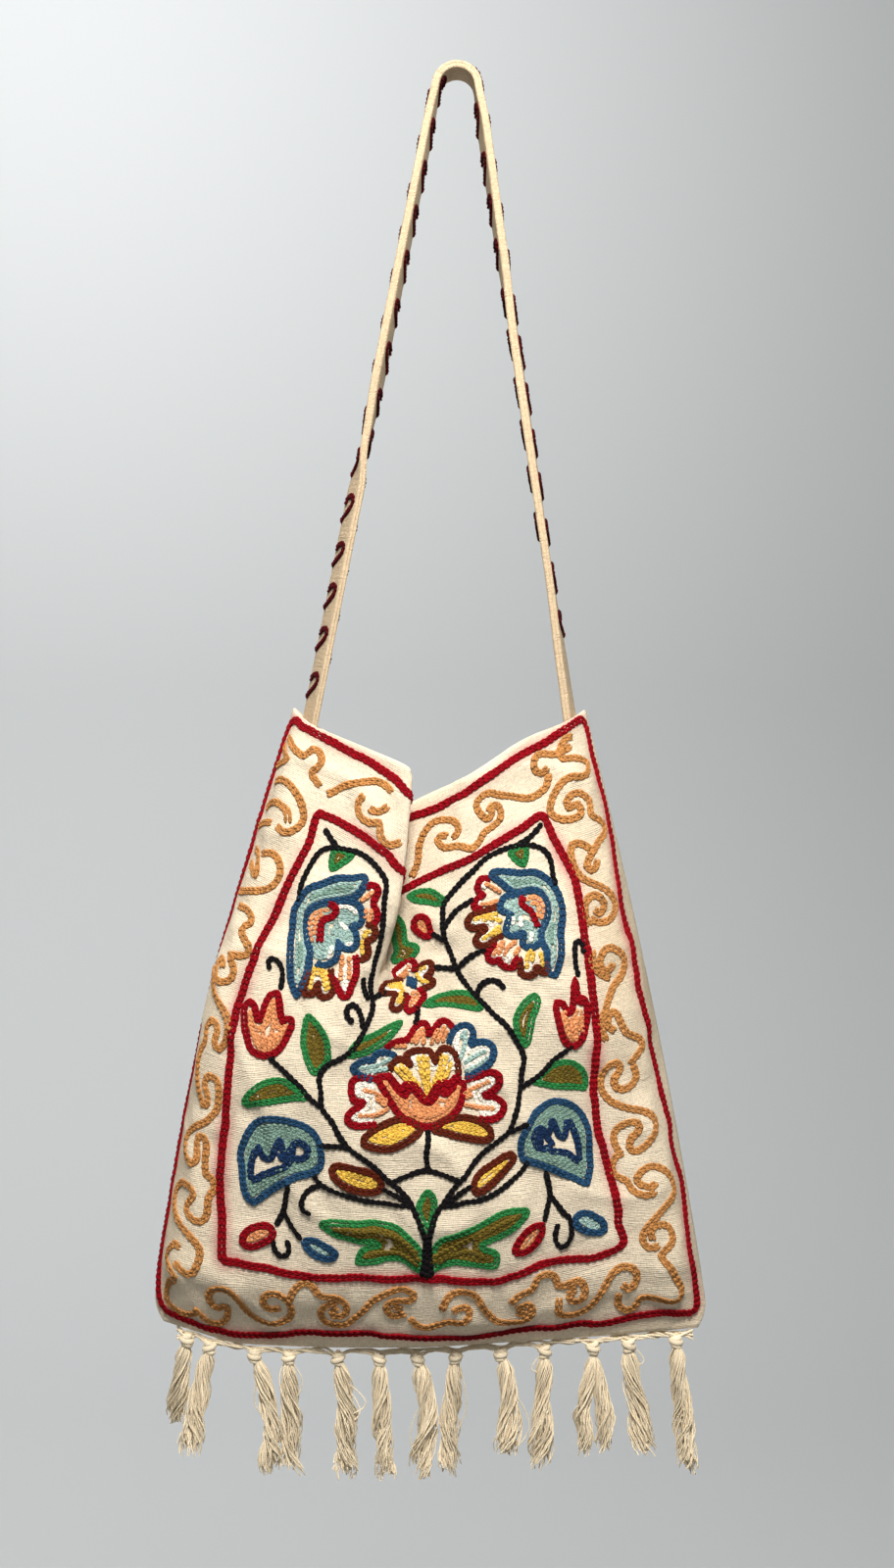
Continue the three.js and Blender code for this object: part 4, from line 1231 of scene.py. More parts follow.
def new_material(name: str) -> tuple[bpy.types.Material, Nodes, bpy.types.Node]:
    """Starts a material.

    Args:
        name: Its name.

    Returns:
        The material, its node adder and its shader.
    """
    material = bpy.data.materials.new(name)
    material.use_nodes = True
    return material, Nodes(material.node_tree), material.node_tree.nodes["Principled BSDF"]


@dataclass(frozen=True)
class Yarn:
    """A dyed or plain thread."""

    name: str
    colour: Colour
    fineness: float = 900.0
    roughness: float = 0.86
    sheen: float = 0.02
    relief: float = 0.0005
    bump: float = 0.7
    gloss: float = 0.1
    sheen_roughness: float = 0.5

    @functools.cache
    def material(self) -> bpy.types.Material:
        """Makes the thread's material once."""
        material, nodes, shader = new_material(self.name)
        place = nodes.add("ShaderNodeTexCoord").outputs["Object"]
        fibre = nodes.add("ShaderNodeGroup", {"Place": place, "Fineness": self.fineness},
                          node_tree=fibre_group())
        shade = nodes.math("MULTIPLY", nodes.stored("tone"), fibre.outputs["Shade"])
        bump = nodes.add("ShaderNodeBump", {
            "Strength": self.bump, "Distance": self.relief, "Height": fibre.outputs["Height"]}).outputs[0]
        nodes.feed(shader, {
            "Base Color": nodes.scaled(linear(self.colour)[:3], shade), "Normal": bump,
            "Roughness": self.roughness, "Specular IOR Level": self.gloss, "Sheen Weight": self.sheen,
            "Sheen Roughness": self.sheen_roughness})
        return material


@dataclass(frozen=True)
class Weave:
    """A woven cotton, with painted shade and with dye bled into it where the piece says so."""

    name: str
    colour: Colour
    ribs: float
    slant: float
    bleed: Colour = (206, 112, 112)
    # Colour of the painted shade: darker and yellower than the cotton.
    soil: Colour = (212, 192, 160)
    roughness: float = 0.92
    relief: float = 0.0005
    bump: float = 0.85
    gloss: float = 0.2

    @functools.cache
    def material(self) -> bpy.types.Material:
        """Makes the cotton's material once."""
        material, nodes, shader = new_material(self.name)
        place = nodes.add("ShaderNodeUVMap", uv_map="flat").outputs[0]
        weave = nodes.add("ShaderNodeGroup", {"Place": place, "Ribs": self.ribs, "Slant": self.slant},
                          node_tree=twill_group())
        # Painted shade: the cotton runs towards the darker shade colour by the share that the piece stores.
        shaded_cotton = nodes.mixed(nodes.stored("soil"), linear(self.colour), linear(self.soil))
        stained_and_shaded = nodes.mixed(nodes.stored("bleed"), shaded_cotton, linear(self.bleed))
        bump = nodes.add("ShaderNodeBump", {
            "Strength": self.bump, "Distance": self.relief, "Height": weave.outputs["Height"]}).outputs[0]
        nodes.feed(shader, {
            "Base Color": nodes.scaled(stained_and_shaded, weave.outputs["Shade"]), "Normal": bump,
            "Roughness": self.roughness, "Specular IOR Level": self.gloss})
        return material


PANEL_COTTON = Weave("panel_weave", (242, 226, 199), 950.0, 0.0)
STRAP_COTTON = Weave("strap_weave", (210, 187, 154), 520.0, 0.9)
FRINGE_COTTON = Yarn("fringe_yarn", (255, 238, 206), 1500.0, 0.8, 0.04, 0.0003)


# Meshes


def new_piece(name: str, points: np.ndarray, edges: Sequence = (), faces: Sequence = ()) -> bpy.types.Object:
    """Makes a smooth-shaded mesh object at the origin.

    Args:
        name: Its name.
        points: Vertices, in metres.
        edges: Pairs of vertices.
        faces: Vertex loops.

    Returns:
        The object.
    """
    mesh = bpy.data.meshes.new(name)
    mesh.from_pydata(np.asarray(points).tolist(), list(edges), [list(map(int, face)) for face in faces])
    mesh.shade_smooth()
    mesh.update()
    piece = bpy.data.objects.new(name, mesh)
    bpy.context.scene.collection.objects.link(piece)
    return piece


def set_attribute(piece: bpy.types.Object, name: str, kind: str, values: np.ndarray) -> None:
    """Stores a value on each vertex.

    Args:
        piece: The object.
        name: The attribute's name.
        kind: FLOAT or FLOAT_VECTOR.
        values: One value for each vertex.
    """
    attribute = piece.data.attributes.new(name, kind, "POINT")
    member = "vector" if kind == VECTOR else "value"
    attribute.data.foreach_set(member, np.ravel(values).astype(np.float32))


def set_flat_map(piece: bpy.types.Object, places: np.ndarray) -> None:
    """Lays the flat cloth's places, in metres, on a piece as its UV map.

    Args:
        piece: The object.
        places: Two values for each corner of its faces.
    """
    layer = piece.data.uv_layers.new(name="flat")
    layer.data.foreach_set("uv", np.ravel(places).astype(np.float32))


def corner_vertices(piece: bpy.types.Object) -> np.ndarray:
    """Gives the vertex of each face corner."""
    corners = np.empty(len(piece.data.loops), int)
    piece.data.loops.foreach_get("vertex_index", corners)
    return corners


def declare(piece: bpy.types.Object, slot: str, *nodes: str) -> None:
    """Tells the frame what a piece rides on and what it stands for.

    Args:
        piece: The object.
        slot: Not used.
        nodes: The CAD nodes that it replaces.
    """
    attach(piece, ROOT)
    if nodes:
        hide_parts(*nodes)
    LOG.info("%s: %d faces", piece.name, len(piece.data.polygons))


# Sub-assemblies


class Mottle(NamedTuple):
    """A soft noise in the dye stain and in the painted shade: its seed, the size of its patches in
    millimetres, and how much it adds.
    """

    seed: int
    cell: float
    share: float


def mottled(even: float, mottles: Sequence[Mottle], places: np.ndarray) -> np.ndarray:
    """Adds patches of noise to an even share, for the dye stain and for the painted shade.

    Args:
        even: The even share.
        mottles: The noises.
        places: Places on the flat cloth.

    Returns:
        The share at each place.
    """
    stain_and_shade = np.full(len(places), even)
    for mottle in mottles:
        stain_and_shade = stain_and_shade + mottle.share * soft_noise(mottle.seed, mottle.cell, *places.T)
    return stain_and_shade


@dataclass
class Panel:
    """A cloth panel of the pouch, with rounded edges."""

    name: str
    node: str
    cloth: Cloth
    hem_width: float = 7.0
    hem_slope: float = 2.0
    hem_thickness: float = 0.7
    edge_round: float = 0.55
    bleed_start: float = 2.0
    bleed_reach: float = 3.6
    bleed_most: float = 0.7
    bleed_even: float = 0.5
    bleed_least: float = 0.12
    bleed_mottles: tuple[Mottle, ...] = (Mottle(71, 30, 0.6),)
    line_step: float = 3.0
    line_batch: int = 64
    # Painted shade on the cloth: darker down both borders, in a band down the right border, and towards the
    # bottom seam.
    side_soil: float = 0.35
    side_span: tuple[float, float] = (110.0, 160.0)
    side_drop: tuple[float, float] = (370.0, 150.0)
    right_span: tuple[float, float] = (112.0, 134.0)
    right_middle: float = 245.0
    right_reach: float = 80.0
    bottom_soil: float = 0.3
    bottom_span: tuple[float, float] = (58.0, 8.0)
    shade_even: float = 0.75
    shade_mottles: tuple[Mottle, ...] = (Mottle(73, 34, 0.35), Mottle(74, 9, 0.2))

    def build(self) -> None:
        """Builds the cloth wall and dresses it."""
        cloth = self.cloth
        rows, columns = cloth.points.shape[:2]
        flat, height = np.meshgrid(cloth.across, cloth.up)
        hem = np.clip((height - cloth.height + self.hem_width) / self.hem_slope, 0, 1) * self.hem_thickness
        half = ((cloth.thickness + hem) / 2 * MM)[..., None]
        outer, inner = cloth.points + cloth.normals * half, cloth.points - cloth.normals * half
        edge = self.edge_ring(rows, columns)
        middles = cloth.points.reshape(-1, 3)[edge] + self.edge_way(edge) * self.edge_round * MM
        layer = rows * columns
        faces = []
        for row in range(rows - 1):
            for column in range(columns - 1):
                first = row * columns + column
                quad = (first, first + 1, first + columns + 1, first + columns)
                faces.append(quad)
                faces.append(tuple(layer + corner for corner in reversed(quad)))
        for index, here in enumerate(edge):
            ahead = (index + 1) % len(edge)
            rim, rim_ahead = 2 * layer + index, 2 * layer + ahead
            faces.append((edge[ahead], here, rim, rim_ahead))
            faces.append((rim_ahead, rim, layer + here, layer + edge[ahead]))
        if cloth.side > 0:
            faces = [tuple(reversed(face)) for face in faces]
        points = np.vstack([outer.reshape(-1, 3), inner.reshape(-1, 3), middles])
        piece = new_piece(self.name, points, (), faces)
        places = np.stack([flat.ravel(), height.ravel()], axis=1)
        places = np.vstack([places, places, places[edge]])
        set_flat_map(piece, places[corner_vertices(piece)] * MM)
        set_attribute(piece, "bleed", "FLOAT", self.bleed(places))
        # Painted shade of the borders and the bottom seam, as a share.
        set_attribute(piece, "soil", "FLOAT", self.soil(places))
        piece.data.materials.append(PANEL_COTTON.material())
        declare(piece, "panel_cotton", self.node)

    @staticmethod
    def edge_ring(rows: int, columns: int) -> list[int]:
        """Lists the grid's edge points in order round the panel."""
        ring = list(range(columns - 1))
        ring += [row * columns + columns - 1 for row in range(rows - 1)]
        ring += [(rows - 1) * columns + column for column in range(columns - 1, 0, -1)]
        ring += [row * columns for row in range(rows - 1, 0, -1)]
        return ring

    def edge_way(self, edge: list[int]) -> np.ndarray:
        """Gives the direction out of the cloth at each edge point.

        Args:
            edge: The edge points in order.

        Returns:
            One direction for each.
        """
        around = self.cloth.points.reshape(-1, 3)[edge]
        along = np.roll(around, -1, axis=0) - np.roll(around, 1, axis=0)
        return unit(np.cross(along, self.cloth.normals.reshape(-1, 3)[edge])) * -self.cloth.side

    def bleed(self, places: np.ndarray) -> np.ndarray:
        """Works out how much red has run from the two frame lines of the front.

        Args:
            places: Places on the flat cloth.

        Returns:
            A share from 0 to 1 for each.
        """
        if self.cloth.side > 0:
            return np.zeros(len(places))
        lines = np.vstack([smooth_path(path, True, self.line_step) for path in (OUTER_FRAME, INNER_FRAME)])
        away = np.full(len(places), np.inf)
        for start in range(0, len(lines), self.line_batch):
            gaps = places[:, None, :] - lines[None, start:start + self.line_batch, :]
            away = np.minimum(away, np.sqrt((gaps**2).sum(axis=2)).min(axis=1))
        patchy = np.clip(mottled(self.bleed_even, self.bleed_mottles, places), self.bleed_least, 1)
        spread = np.exp(-((np.maximum(away - self.bleed_start, 0) / self.bleed_reach) ** 2))
        return self.bleed_most * spread * patchy

    def soil(self, places: np.ndarray) -> np.ndarray:
        """Works out the painted shade of the cloth: darker down both borders, most down the right border, and
        towards the bottom seam.

        Args:
            places: Places on the flat cloth.

        Returns:
            A share from 0 to 1 for each.
        """
        across, up = places.T
        # Painted shade: darker down both borders below the top, in a band down the right border, and towards
        # the bottom seam.
        sides = self.side_soil * ramp(np.abs(across), *self.side_span) * ramp(up, *self.side_drop)
        band = np.exp(-(((up - self.right_middle) / self.right_reach) ** 2))
        sides = np.maximum(sides, ramp(across, *self.right_span) * band)
        bottom = self.bottom_soil * ramp(up, *self.bottom_span)
        return np.clip(np.maximum(sides, bottom) * mottled(self.shade_even, self.shade_mottles, places), 0, 1)


@dataclass
class Stitches:
    """Gathers stitches by thread and makes a piece of each thread."""

    link: bpy.types.Object
    prefix: str
    slot: str
    unevenness: float = 0.1
    overlap: float = 1.5
    gathered: dict[Thread, list[np.ndarray]] = field(default_factory=dict)

    def add(self, thread: Thread, gauge: Gauge, line: np.ndarray, outward: np.ndarray) -> None:
        """Adds a row of links.

        Args:
            thread: Its thread.
            gauge: Its stitch size.
            line: The ends of the links along the row, in metres.
            outward: The direction off the cloth at each.
        """
        size = gauge.value
        along = np.diff(line, axis=0)
        lengths = np.linalg.norm(along, axis=1)
        off = unit(outward[:-1] + outward[1:])
        places = (line[:-1] + line[1:]) / 2 + off * size.lift * MM
        scale = np.stack([lengths * self.overlap, np.full(len(lengths), size.width * MM),
                          np.full(len(lengths), size.height * MM)], axis=1)
        self.gathered.setdefault(thread, []).append(np.hstack([places, unit(along), off, scale]))

    def build(self) -> None:
        """Makes and dresses a piece of every thread."""
        for seed, thread in enumerate(sorted(self.gathered, key=attrgetter("name"))):
            stitches = np.vstack(self.gathered[thread])
            piece = new_piece(f"{self.prefix}_{thread.name.lower()}", stitches[:, :3])
            for index, name in enumerate(("along", "outward", "size"), start=1):
                set_attribute(piece, name, VECTOR, stitches[:, 3 * index:3 * index + 3])
            wool = Yarn(f"wool_{thread.name.lower()}", thread.value)
            grown(piece, stitch_tree(), {"Link": self.link, "Unevenness": self.unevenness, "Seed": seed,
                                         "Thread": wool.material()})
            declare(piece, self.slot)


def chain_link(turns: int = 8, sides: int = 4) -> bpy.types.Object:
    """Makes one chain link of unit length, width and height: a loop of yarn with its tail low.

    Args:
        turns: Points round the loop.
        sides: Points round the yarn.

    Returns:
        The link.
    """
    yarn, rise, tail_drop, narrowing = 0.235, 0.45, 0.35, 0.28
    points, faces = [], []
    for turn in range(turns):
        angle = math.tau * turn / turns
        x, y = math.cos(angle), math.sin(angle)
        centre = np.array([(0.5 - yarn) * x, (0.5 - yarn) * y * (1 + narrowing * x), tail_drop * x / 2])
        outward = np.array([x, y, 0.0])
        for side in range(sides):
            around = math.tau * side / sides
            up = np.array([0, 0, rise * math.sin(around)])
            points.append(centre + outward * yarn * math.cos(around) + up)
            here, ahead = turn * sides, (turn + 1) % turns * sides
            beside = (side + 1) % sides
            faces.append((here + side, ahead + side, ahead + beside, here + beside))
    return new_piece("chain_link", np.array(points), (), faces)


@dataclass
class Embroidery:
    """The chain-stitched design on the front."""

    cloth: Cloth
    stitches: Stitches
    row_step: float = 0.6
    row_share: float = 0.8
    most_rows: int = 12
    wobble: float = 0.5
    wobble_cell: float = 8.0
    wobble_seeds: tuple[int, int] = (31, 32)

    def work(self) -> None:
        """Works every row of the chart."""
        for line in charted_lines():
            self.row(line.thread, line.gauge, smooth_path(line.points, line.closed, line.gauge.value.pitch))
        for patch in charted_patches():
            self.fill(patch)

    def fill(self, patch: Patch) -> None:
        """Works an outline and the rows inside it.

        Args:
            patch: The charted shape.
        """
        outline = smooth_path(patch.points, True, self.row_step)
        edge = outline if patch.closed else smooth_path(patch.points, False, self.row_step)
        self.row(patch.thread, patch.gauge, spaced(edge, patch.gauge.value.pitch))
        fine = Gauge.FINE.value
        depth = patch.gauge.value.full_width / 2 + fine.width * self.row_share / 2
        for number in range(self.most_rows):
            thread = patch.rows[number] if number < len(patch.rows) else patch.rest
            rows = inner_rows(outline, depth, fine.width * self.row_share)
            if not rows:
                break
            for row in outside(rows, patch.hole) if patch.hole else rows:
                self.row(thread, Gauge.FINE, spaced(row, fine.pitch))
            depth += fine.width * self.row_share

    def row(self, thread: Thread, gauge: Gauge, path: np.ndarray) -> None:
        """Lays a row of the flat chart on the hung cloth.

        Args:
            thread: Its thread.
            gauge: Its stitch size.
            path: The ends of its links on the flat cloth.
        """
        size = gauge.value
        sway, rise = (soft_noise(seed, self.wobble_cell, *path.T) * self.wobble for seed in self.wobble_seeds)
        ahead = unit(np.gradient(path, axis=0))
        for lane in range(size.lanes):
            aside = (lane - (size.lanes - 1) / 2) * size.spread
            across, up = path[:, 0] + sway - ahead[:, 1] * aside, path[:, 1] + rise + ahead[:, 0] * aside
            normals = unit(self.cloth.sample(self.cloth.normals, across, up))
            places = self.cloth.sample(self.cloth.points, across, up)
            self.stitches.add(thread, gauge, places + normals * self.cloth.thickness / 2 * MM, normals)


class Foot(NamedTuple):
    """Where a strap leg ends, with its turn in degrees and its thickness at shares of the way down."""

    x: float
    z: float
    turns: Path
    depths: Path


class HookRow(NamedTuple):
    """A row of hooks: its leg and face, and the first and last distance from the strap's top."""

    leg: int
    face: int
    first: float
    last: float


LEFT_FOOT = Foot(
    -91, -403, ((0, 0), (0.06, -5), (0.45, -7), (0.55, 2), (0.63, 25), (1, 25)),
    ((0, 4.8), (0.5, 5.0), (0.65, 4.2), (1, 4.0)))
RIGHT_FOOT = Foot(
    70.6, -405, ((0, 0), (0.06, -8), (0.25, -4), (0.4, 7), (0.6, 6), (0.75, 5), (0.9, 13), (1, 16)),
    ((0, 4.8), (0.5, 5.2), (0.7, 4.8), (1, 5.0)))
HOOK_ROWS = (
    HookRow(-1, -1, 31.4, 398), HookRow(-1, 1, 18.4, 398), HookRow(1, -1, 16, 360), HookRow(1, 1, 38, 295),
)


@dataclass
class Strap:
    """The folded strap over its support, with hooks stitched on both faces, in millimetres."""

    width: float = 20.0
    thickness: float = 4.0
    support_radius: float = 11.0
    left: Foot = LEFT_FOOT
    right: Foot = RIGHT_FOOT
    leg_steps: int = 130
    arc_steps: int = 36
    half_section: Path = (
        (0.94, 0), (0.99, 0.2), (1, 0.5), (0.96, 0.85), (0.88, 1), (0.4, 1), (-0.4, 1), (-0.88, 1),
        (-0.96, 0.85), (-1, 0.5), (-0.99, 0.2), (-0.94, 0))
    hook_repeat: float = 27.8
    hook: Path = ((9, -8), (5, -4.5), (-2, 0), (-6, 4.5), (-3, 8), (3, 8), (6, 5.5), (5.5, 3.5))
    hook_seed: int = 8
    hook_shift: tuple[float, float] = (-1.5, 1.5)
    hook_stretch: tuple[float, float] = (0.8, 1.05)

    def leaving_angle(self, foot: Foot) -> float:
        """Gives the angle from straight up where a straight leg leaves the round.

        Args:
            foot: The leg's foot.

        Returns:
            The angle, in radians.
        """
        radius = self.support_radius + self.thickness / 2
        above = foot.z + self.support_radius
        return math.atan2(abs(foot.x), above) - math.acos(radius / math.hypot(foot.x, above))

    def keyed(self, left: Path, right: Path) -> np.ndarray:
        """Reads keyed values along the strap, with the first of the left leg's over the loop.

        Args:
            left: The left leg's values at shares of the way down.
            right: The right leg's.

        Returns:
            The values from the left foot to the right foot.
        """
        down = np.linspace(0, 1, self.leg_steps + 1)[1:]
        over = np.full(self.arc_steps + 1, float(left[0][1]))
        return np.concatenate([eased(down, left)[::-1], over, eased(down, right)])

    def run(self) -> tuple[np.ndarray, np.ndarray, np.ndarray, np.ndarray]:
        """Follows the strap from the left foot over the loop to the right foot.

        Returns:
            The middle line in metres, the directions of the width and of the inner face, and the thickness.
        """
        radius = self.support_radius + self.thickness / 2
        first, last = -self.leaving_angle(self.left), self.leaving_angle(self.right)
        angles = np.linspace(first, last, self.arc_steps + 1)
        heights = np.cos(angles) * radius - self.support_radius
        loop = np.stack([np.sin(angles) * radius, 0 * angles, heights], axis=1)
        down = np.linspace(0, 1, self.leg_steps + 1)[1:]
        legs = [end * (1 - down[:, None]) + np.array([foot.x, 0, foot.z]) * down[:, None]
                for foot, end in ((self.left, loop[0]), (self.right, loop[-1]))]
        line = np.vstack([legs[0][::-1], loop, legs[1]])
        along = unit(np.gradient(line, axis=0))
        level = np.array([0.0, 1.0, 0.0])
        turns = np.radians(self.keyed(self.left.turns, self.right.turns))[:, None]
        wide = level * np.cos(turns) + np.cross(along, level) * np.sin(turns)
        depth = self.keyed(self.left.depths, self.right.depths) * MM
        return line * MM, wide, np.cross(wide, along), depth

    def build(self) -> None:
        """Builds the band and dresses it."""
        line, wide, inward, depth = self.run()
        other_half = tuple((over, -deep) for over, deep in self.half_section[-2:0:-1])
        section = np.array(self.half_section + other_half)
        across, deep = section[:, 0] * self.width / 2 * MM, section[:, 1] / 2
        rings = (line[:, None, :] + wide[:, None, :] * across[None, :, None]
                 + inward[:, None, :] * (depth[:, None] * deep)[..., None])
        count, sides = rings.shape[:2]
        lengths = run_lengths(line)
        outline = np.stack([across, deep * self.thickness * MM], axis=1)
        around = run_lengths(np.vstack([outline, outline[:1]]))
        faces, places = [], []
        for ring in range(count - 1):
            for side in range(sides):
                beside = (side + 1) % sides
                faces.append((ring * sides + side, ring * sides + beside, (ring + 1) * sides + beside,
                              (ring + 1) * sides + side))
                for step, over in ((ring, side), (ring, side + 1), (ring + 1, side + 1), (ring + 1, side)):
                    places.append((around[over], lengths[step]))
        for ring, order in ((0, range(sides - 1, -1, -1)), (count - 1, range(sides))):
            faces.append(tuple(ring * sides + side for side in order))
            places += [(around[side], lengths[ring]) for side in order]
        piece = new_piece("strap_band", rings.reshape(-1, 3), (), faces)
        set_flat_map(piece, np.array(places))
        # Neither dye stain nor painted shade on the strap: both shares are zero.
        for stain_and_shade in ("bleed", "soil"):
            set_attribute(piece, stain_and_shade, "FLOAT", np.zeros(count * sides))
        piece.data.materials.append(STRAP_COTTON.material())
        declare(piece, "strap_cotton", "strap")

    def stitch(self, stitches: Stitches) -> None:
        """Works the rows of hooks, their heads towards the top.

        Args:
            stitches: Where the stitches are gathered.
        """
        line, wide, inward, depth = self.run()
        lengths = run_lengths(line) / MM
        top = lengths[self.leg_steps + self.arc_steps // 2]
        hook = smooth_path(self.hook, False, Gauge.STRAP.value.pitch)
        rng = np.random.default_rng(self.hook_seed)
        for row in HOOK_ROWS:
            for middle in np.arange(row.first, row.last, self.hook_repeat):
                shifted = middle + rng.uniform(*self.hook_shift)
                at = top + row.leg * (shifted - hook[:, 1] * rng.uniform(*self.hook_stretch))
                off = unit(read_along(at, lengths, inward)) * row.face
                aside = unit(read_along(at, lengths, wide)) * hook[:, :1] * MM
                places = read_along(at, lengths, line) + aside
                places = places + off * np.interp(at, lengths, depth)[:, None] / 2
                stitches.add(Thread.MAROON, Gauge.STRAP, places, off)


class Tassel(NamedTuple):
    """A tassel: place across the flat cloth, length, sway, bulge and half widths, in millimetres."""

    flat: float
    length: float
    sway_x: float
    sway_y: float
    bulge: float
    girth: float
    splay: float


TASSELS: tuple[Tassel, ...] = (
    Tassel(-156, 61, -8, 10, -2, 5.2, 6.4), Tassel(-140, 69, -12, -8, -2, 5.4, 7.2),
    Tassel(-109, 80, 8, -3, 7, 5.2, 5.8), Tassel(-86, 79, 2, 2, 0, 5.6, 7.8),
    Tassel(-54, 78, 4, -3, 4, 5.3, 7.6), Tassel(-29, 80, 5, 2, 0, 5.1, 7.0),
    Tassel(-6, 77, 2, -2, 5, 6.0, 8.6), Tassel(17, 80, -3, 2, -2, 5.2, 6.2),
    Tassel(44, 68, 2, -3, 5, 5.8, 8.4), Tassel(71, 78, -3, 1, 0, 5.5, 7.4),
    Tassel(101, 71, 1, -2, 0, 8.4, 11.5), Tassel(124, 75, 13, 2, 0, 5.8, 8.4),
    Tassel(157, 89, 9, -1, 1, 5.2, 7.8),
)


class Loop(NamedTuple):
    """A thread pulled loose from a tassel: where it leaves and returns down it, and how far out it stands."""

    tassel: int
    leaves: float
    returns: float
    reach: float


LOOPS: tuple[Loop, ...] = (
    Loop(4, 6, 27, 3.5), Loop(5, 19, 36, 8), Loop(5, 24, 40, 4), Loop(8, 12, 48, 4.5), Loop(9, 30, 58, 6),
    Loop(10, 5, 16, -4), Loop(12, 3, 15, 5), Loop(7, 34, 60, -4), Loop(3, 20, 38, -3),
)


@dataclass
class Fringe:
    """The tasselled bottom edge, in millimetres. A pair of numbers is the range of a random draw."""

    cloth: Cloth
    tones: tuple[float, float] = (0.74, 1.06)
    heading_start: float = -163.0
    heading_end: float = 169.0
    heading_drop: float = 2.8
    heading_thread: float = 1.5
    heading_threads: int = 6
    heading_points: int = 240
    heading_seed: int = 5
    heading_dip: float = 2.6
    dip_reach: float = 5.0
    dip_share: tuple[float, float] = (0.2, 1.2)
    coil: tuple[float, float] = (0.1, 0.3)
    coil_depth: float = 1.1
    coil_rise: float = 0.7
    loose_rise: float = 1.3
    loose_cell: float = 11.0
    loose_seed: int = 90
    fray_start: float = 157.0
    fray_end: float = 166.0
    fray: tuple[float, float] = (-5.0, 3.0)
    knot_radius: float = 4.7
    knot_height: float = 8.0
    knot_drop: float = 4.0
    knot_thread: float = 3.7
    knot_sides: int = 8
    knot_seed: int = 77
    knot_taper: float = 0.75
    knot_spread: float = 1.5
    knot_start: tuple[float, float] = (0.0, 6.0)
    knot_tilt: tuple[float, float] = (0.15, 0.5)
    wraps: int = 3
    wrap_points: int = 15
    wrap_turn: float = 1.04
    top_radius: float = 1.0
    core_radius: float = 1.2
    neck_radius: float = 3.4
    neck_gap: float = 0.5
    shoulder_gap: float = 5.0
    shoulder_share: float = 0.92
    waist_share: float = 0.45
    flare_share: float = 0.78
    flare: float = 0.4
    fullness: float = 1.14
    thread: float = 0.8
    thread_start: float = -1.2
    thread_steps: int = 18
    thread_length: tuple[float, float] = (0.84, 1.0)
    thread_core: tuple[float, float] = (0.05, 1.0)
    tip_share: float = 0.95
    tip_girth: float = 0.6
    tassel_seed: int = 300
    locks: int = 5
    lock_threads: int = 17
    lock_length: tuple[float, float] = (0.9, 1.0)
    lock_roll: tuple[float, float] = (0.07, 0.12)
    lock_stray: float = 0.2
    lock_ring: float = 0.48
    lock_core: float = 0.5
    twist: tuple[float, float] = (0.05, 0.075)
    twist_start: float = 5.0
    frizz: float = 1.5
    frizz_start: float = 10.0
    frizz_end: float = 50.0
    sway_curve: float = 1.5
    parting_girth: float = 7.0
    parting: float = 6.8
    parting_start: float = 0.12
    parting_reach: float = 0.5
    parted_share: float = 0.5
    loop_points: int = 16
    loop_girth: float = 0.75
    loop_sag: float = 2.0

    def threads_piece(self, name: str, lines: list[np.ndarray], girths: list[np.ndarray], thickness: float,
                      sides: int = 5) -> bpy.types.Object:
        """Turns lines into one piece of round threads.

        Args:
            name: The piece's name.
            lines: The threads' middle lines, in millimetres.
            girths: Their thickness along them, as a share.
            thickness: Their full thickness, in millimetres.
            sides: Faces round each thread.

        Returns:
            The piece.
        """
        edges, start = [], 0
        for line in lines:
            edges += [(start + step, start + step + 1) for step in range(len(line) - 1)]
            start += len(line)
        piece = new_piece(name, np.vstack(lines) * MM, edges)
        set_attribute(piece, "girth", "FLOAT", np.concatenate(girths))
        tones = np.random.default_rng(len(lines)).uniform(*self.tones, len(lines))
        set_attribute(piece, "tone", "FLOAT", np.repeat(tones, [len(line) for line in lines]))
        return grown(piece, strand_tree(), {"Thickness": thickness * MM, "Sides": sides,
                                            "Thread": FRINGE_COTTON.material()})

    def tie_point(self, tassel: Tassel) -> np.ndarray:
        """Gives the top of a tassel, below the bottom seam."""
        return self.cloth.bottom_seam(tassel.flat)[0] - np.array([0, 0, self.knot_drop])

    def heading(self) -> None:
        """Builds the loose row of threads that the tassels are tied to."""
        flat = np.linspace(self.heading_start, self.heading_end, self.heading_points)
        seam = self.cloth.bottom_seam(flat)
        rng = np.random.default_rng(self.heading_seed)
        lines = []
        from_knot = np.abs(flat[:, None] - np.array([tassel.flat for tassel in TASSELS])).min(axis=1)
        dip = self.heading_dip * np.exp(-((from_knot / self.dip_reach) ** 2))
        from_middle = np.abs(flat - (self.heading_start + self.heading_end) / 2)
        frayed = ramp(from_middle, self.fray_start, self.fray_end)
        for number in range(self.heading_threads):
            phase = math.tau * number / self.heading_threads + flat * rng.uniform(*self.coil)
            loose = soft_noise(self.loose_seed + number, self.loose_cell, flat, np.zeros_like(flat))
            line = seam.copy()
            line[:, 1] += np.cos(phase) * self.coil_depth
            line[:, 2] += (np.sin(phase) * self.coil_rise + loose * self.loose_rise - self.heading_drop
                           - dip * rng.uniform(*self.dip_share))
            line[:, 2] += frayed * rng.uniform(*self.fray)
            lines.append(line)
        piece = self.threads_piece("fringe_heading_threads", lines, [np.ones(len(flat))] * len(lines),
                                   self.heading_thread)
        declare(piece, "fringe_cotton", "fringe_heading")

    def profile(self, tassel: Tassel, drop: np.ndarray) -> np.ndarray:
        """Gives a tassel's half width down its length, without its knot.

        Args:
            tassel: The tassel.
            drop: Distances below its top.

        Returns:
            The half widths.
        """
        downs, widths = zip(
            (0, self.top_radius),
            (self.knot_height * 0.5, self.core_radius),
            (self.knot_height + self.neck_gap, self.neck_radius / self.fullness),
            (self.knot_height + self.shoulder_gap, tassel.girth * self.shoulder_share),
            (tassel.length * self.waist_share, tassel.girth),
            (tassel.length * self.flare_share, tassel.girth + self.flare * (tassel.splay - tassel.girth)),
            (tassel.length, tassel.splay))
        return np.interp(drop, downs, widths) * self.fullness

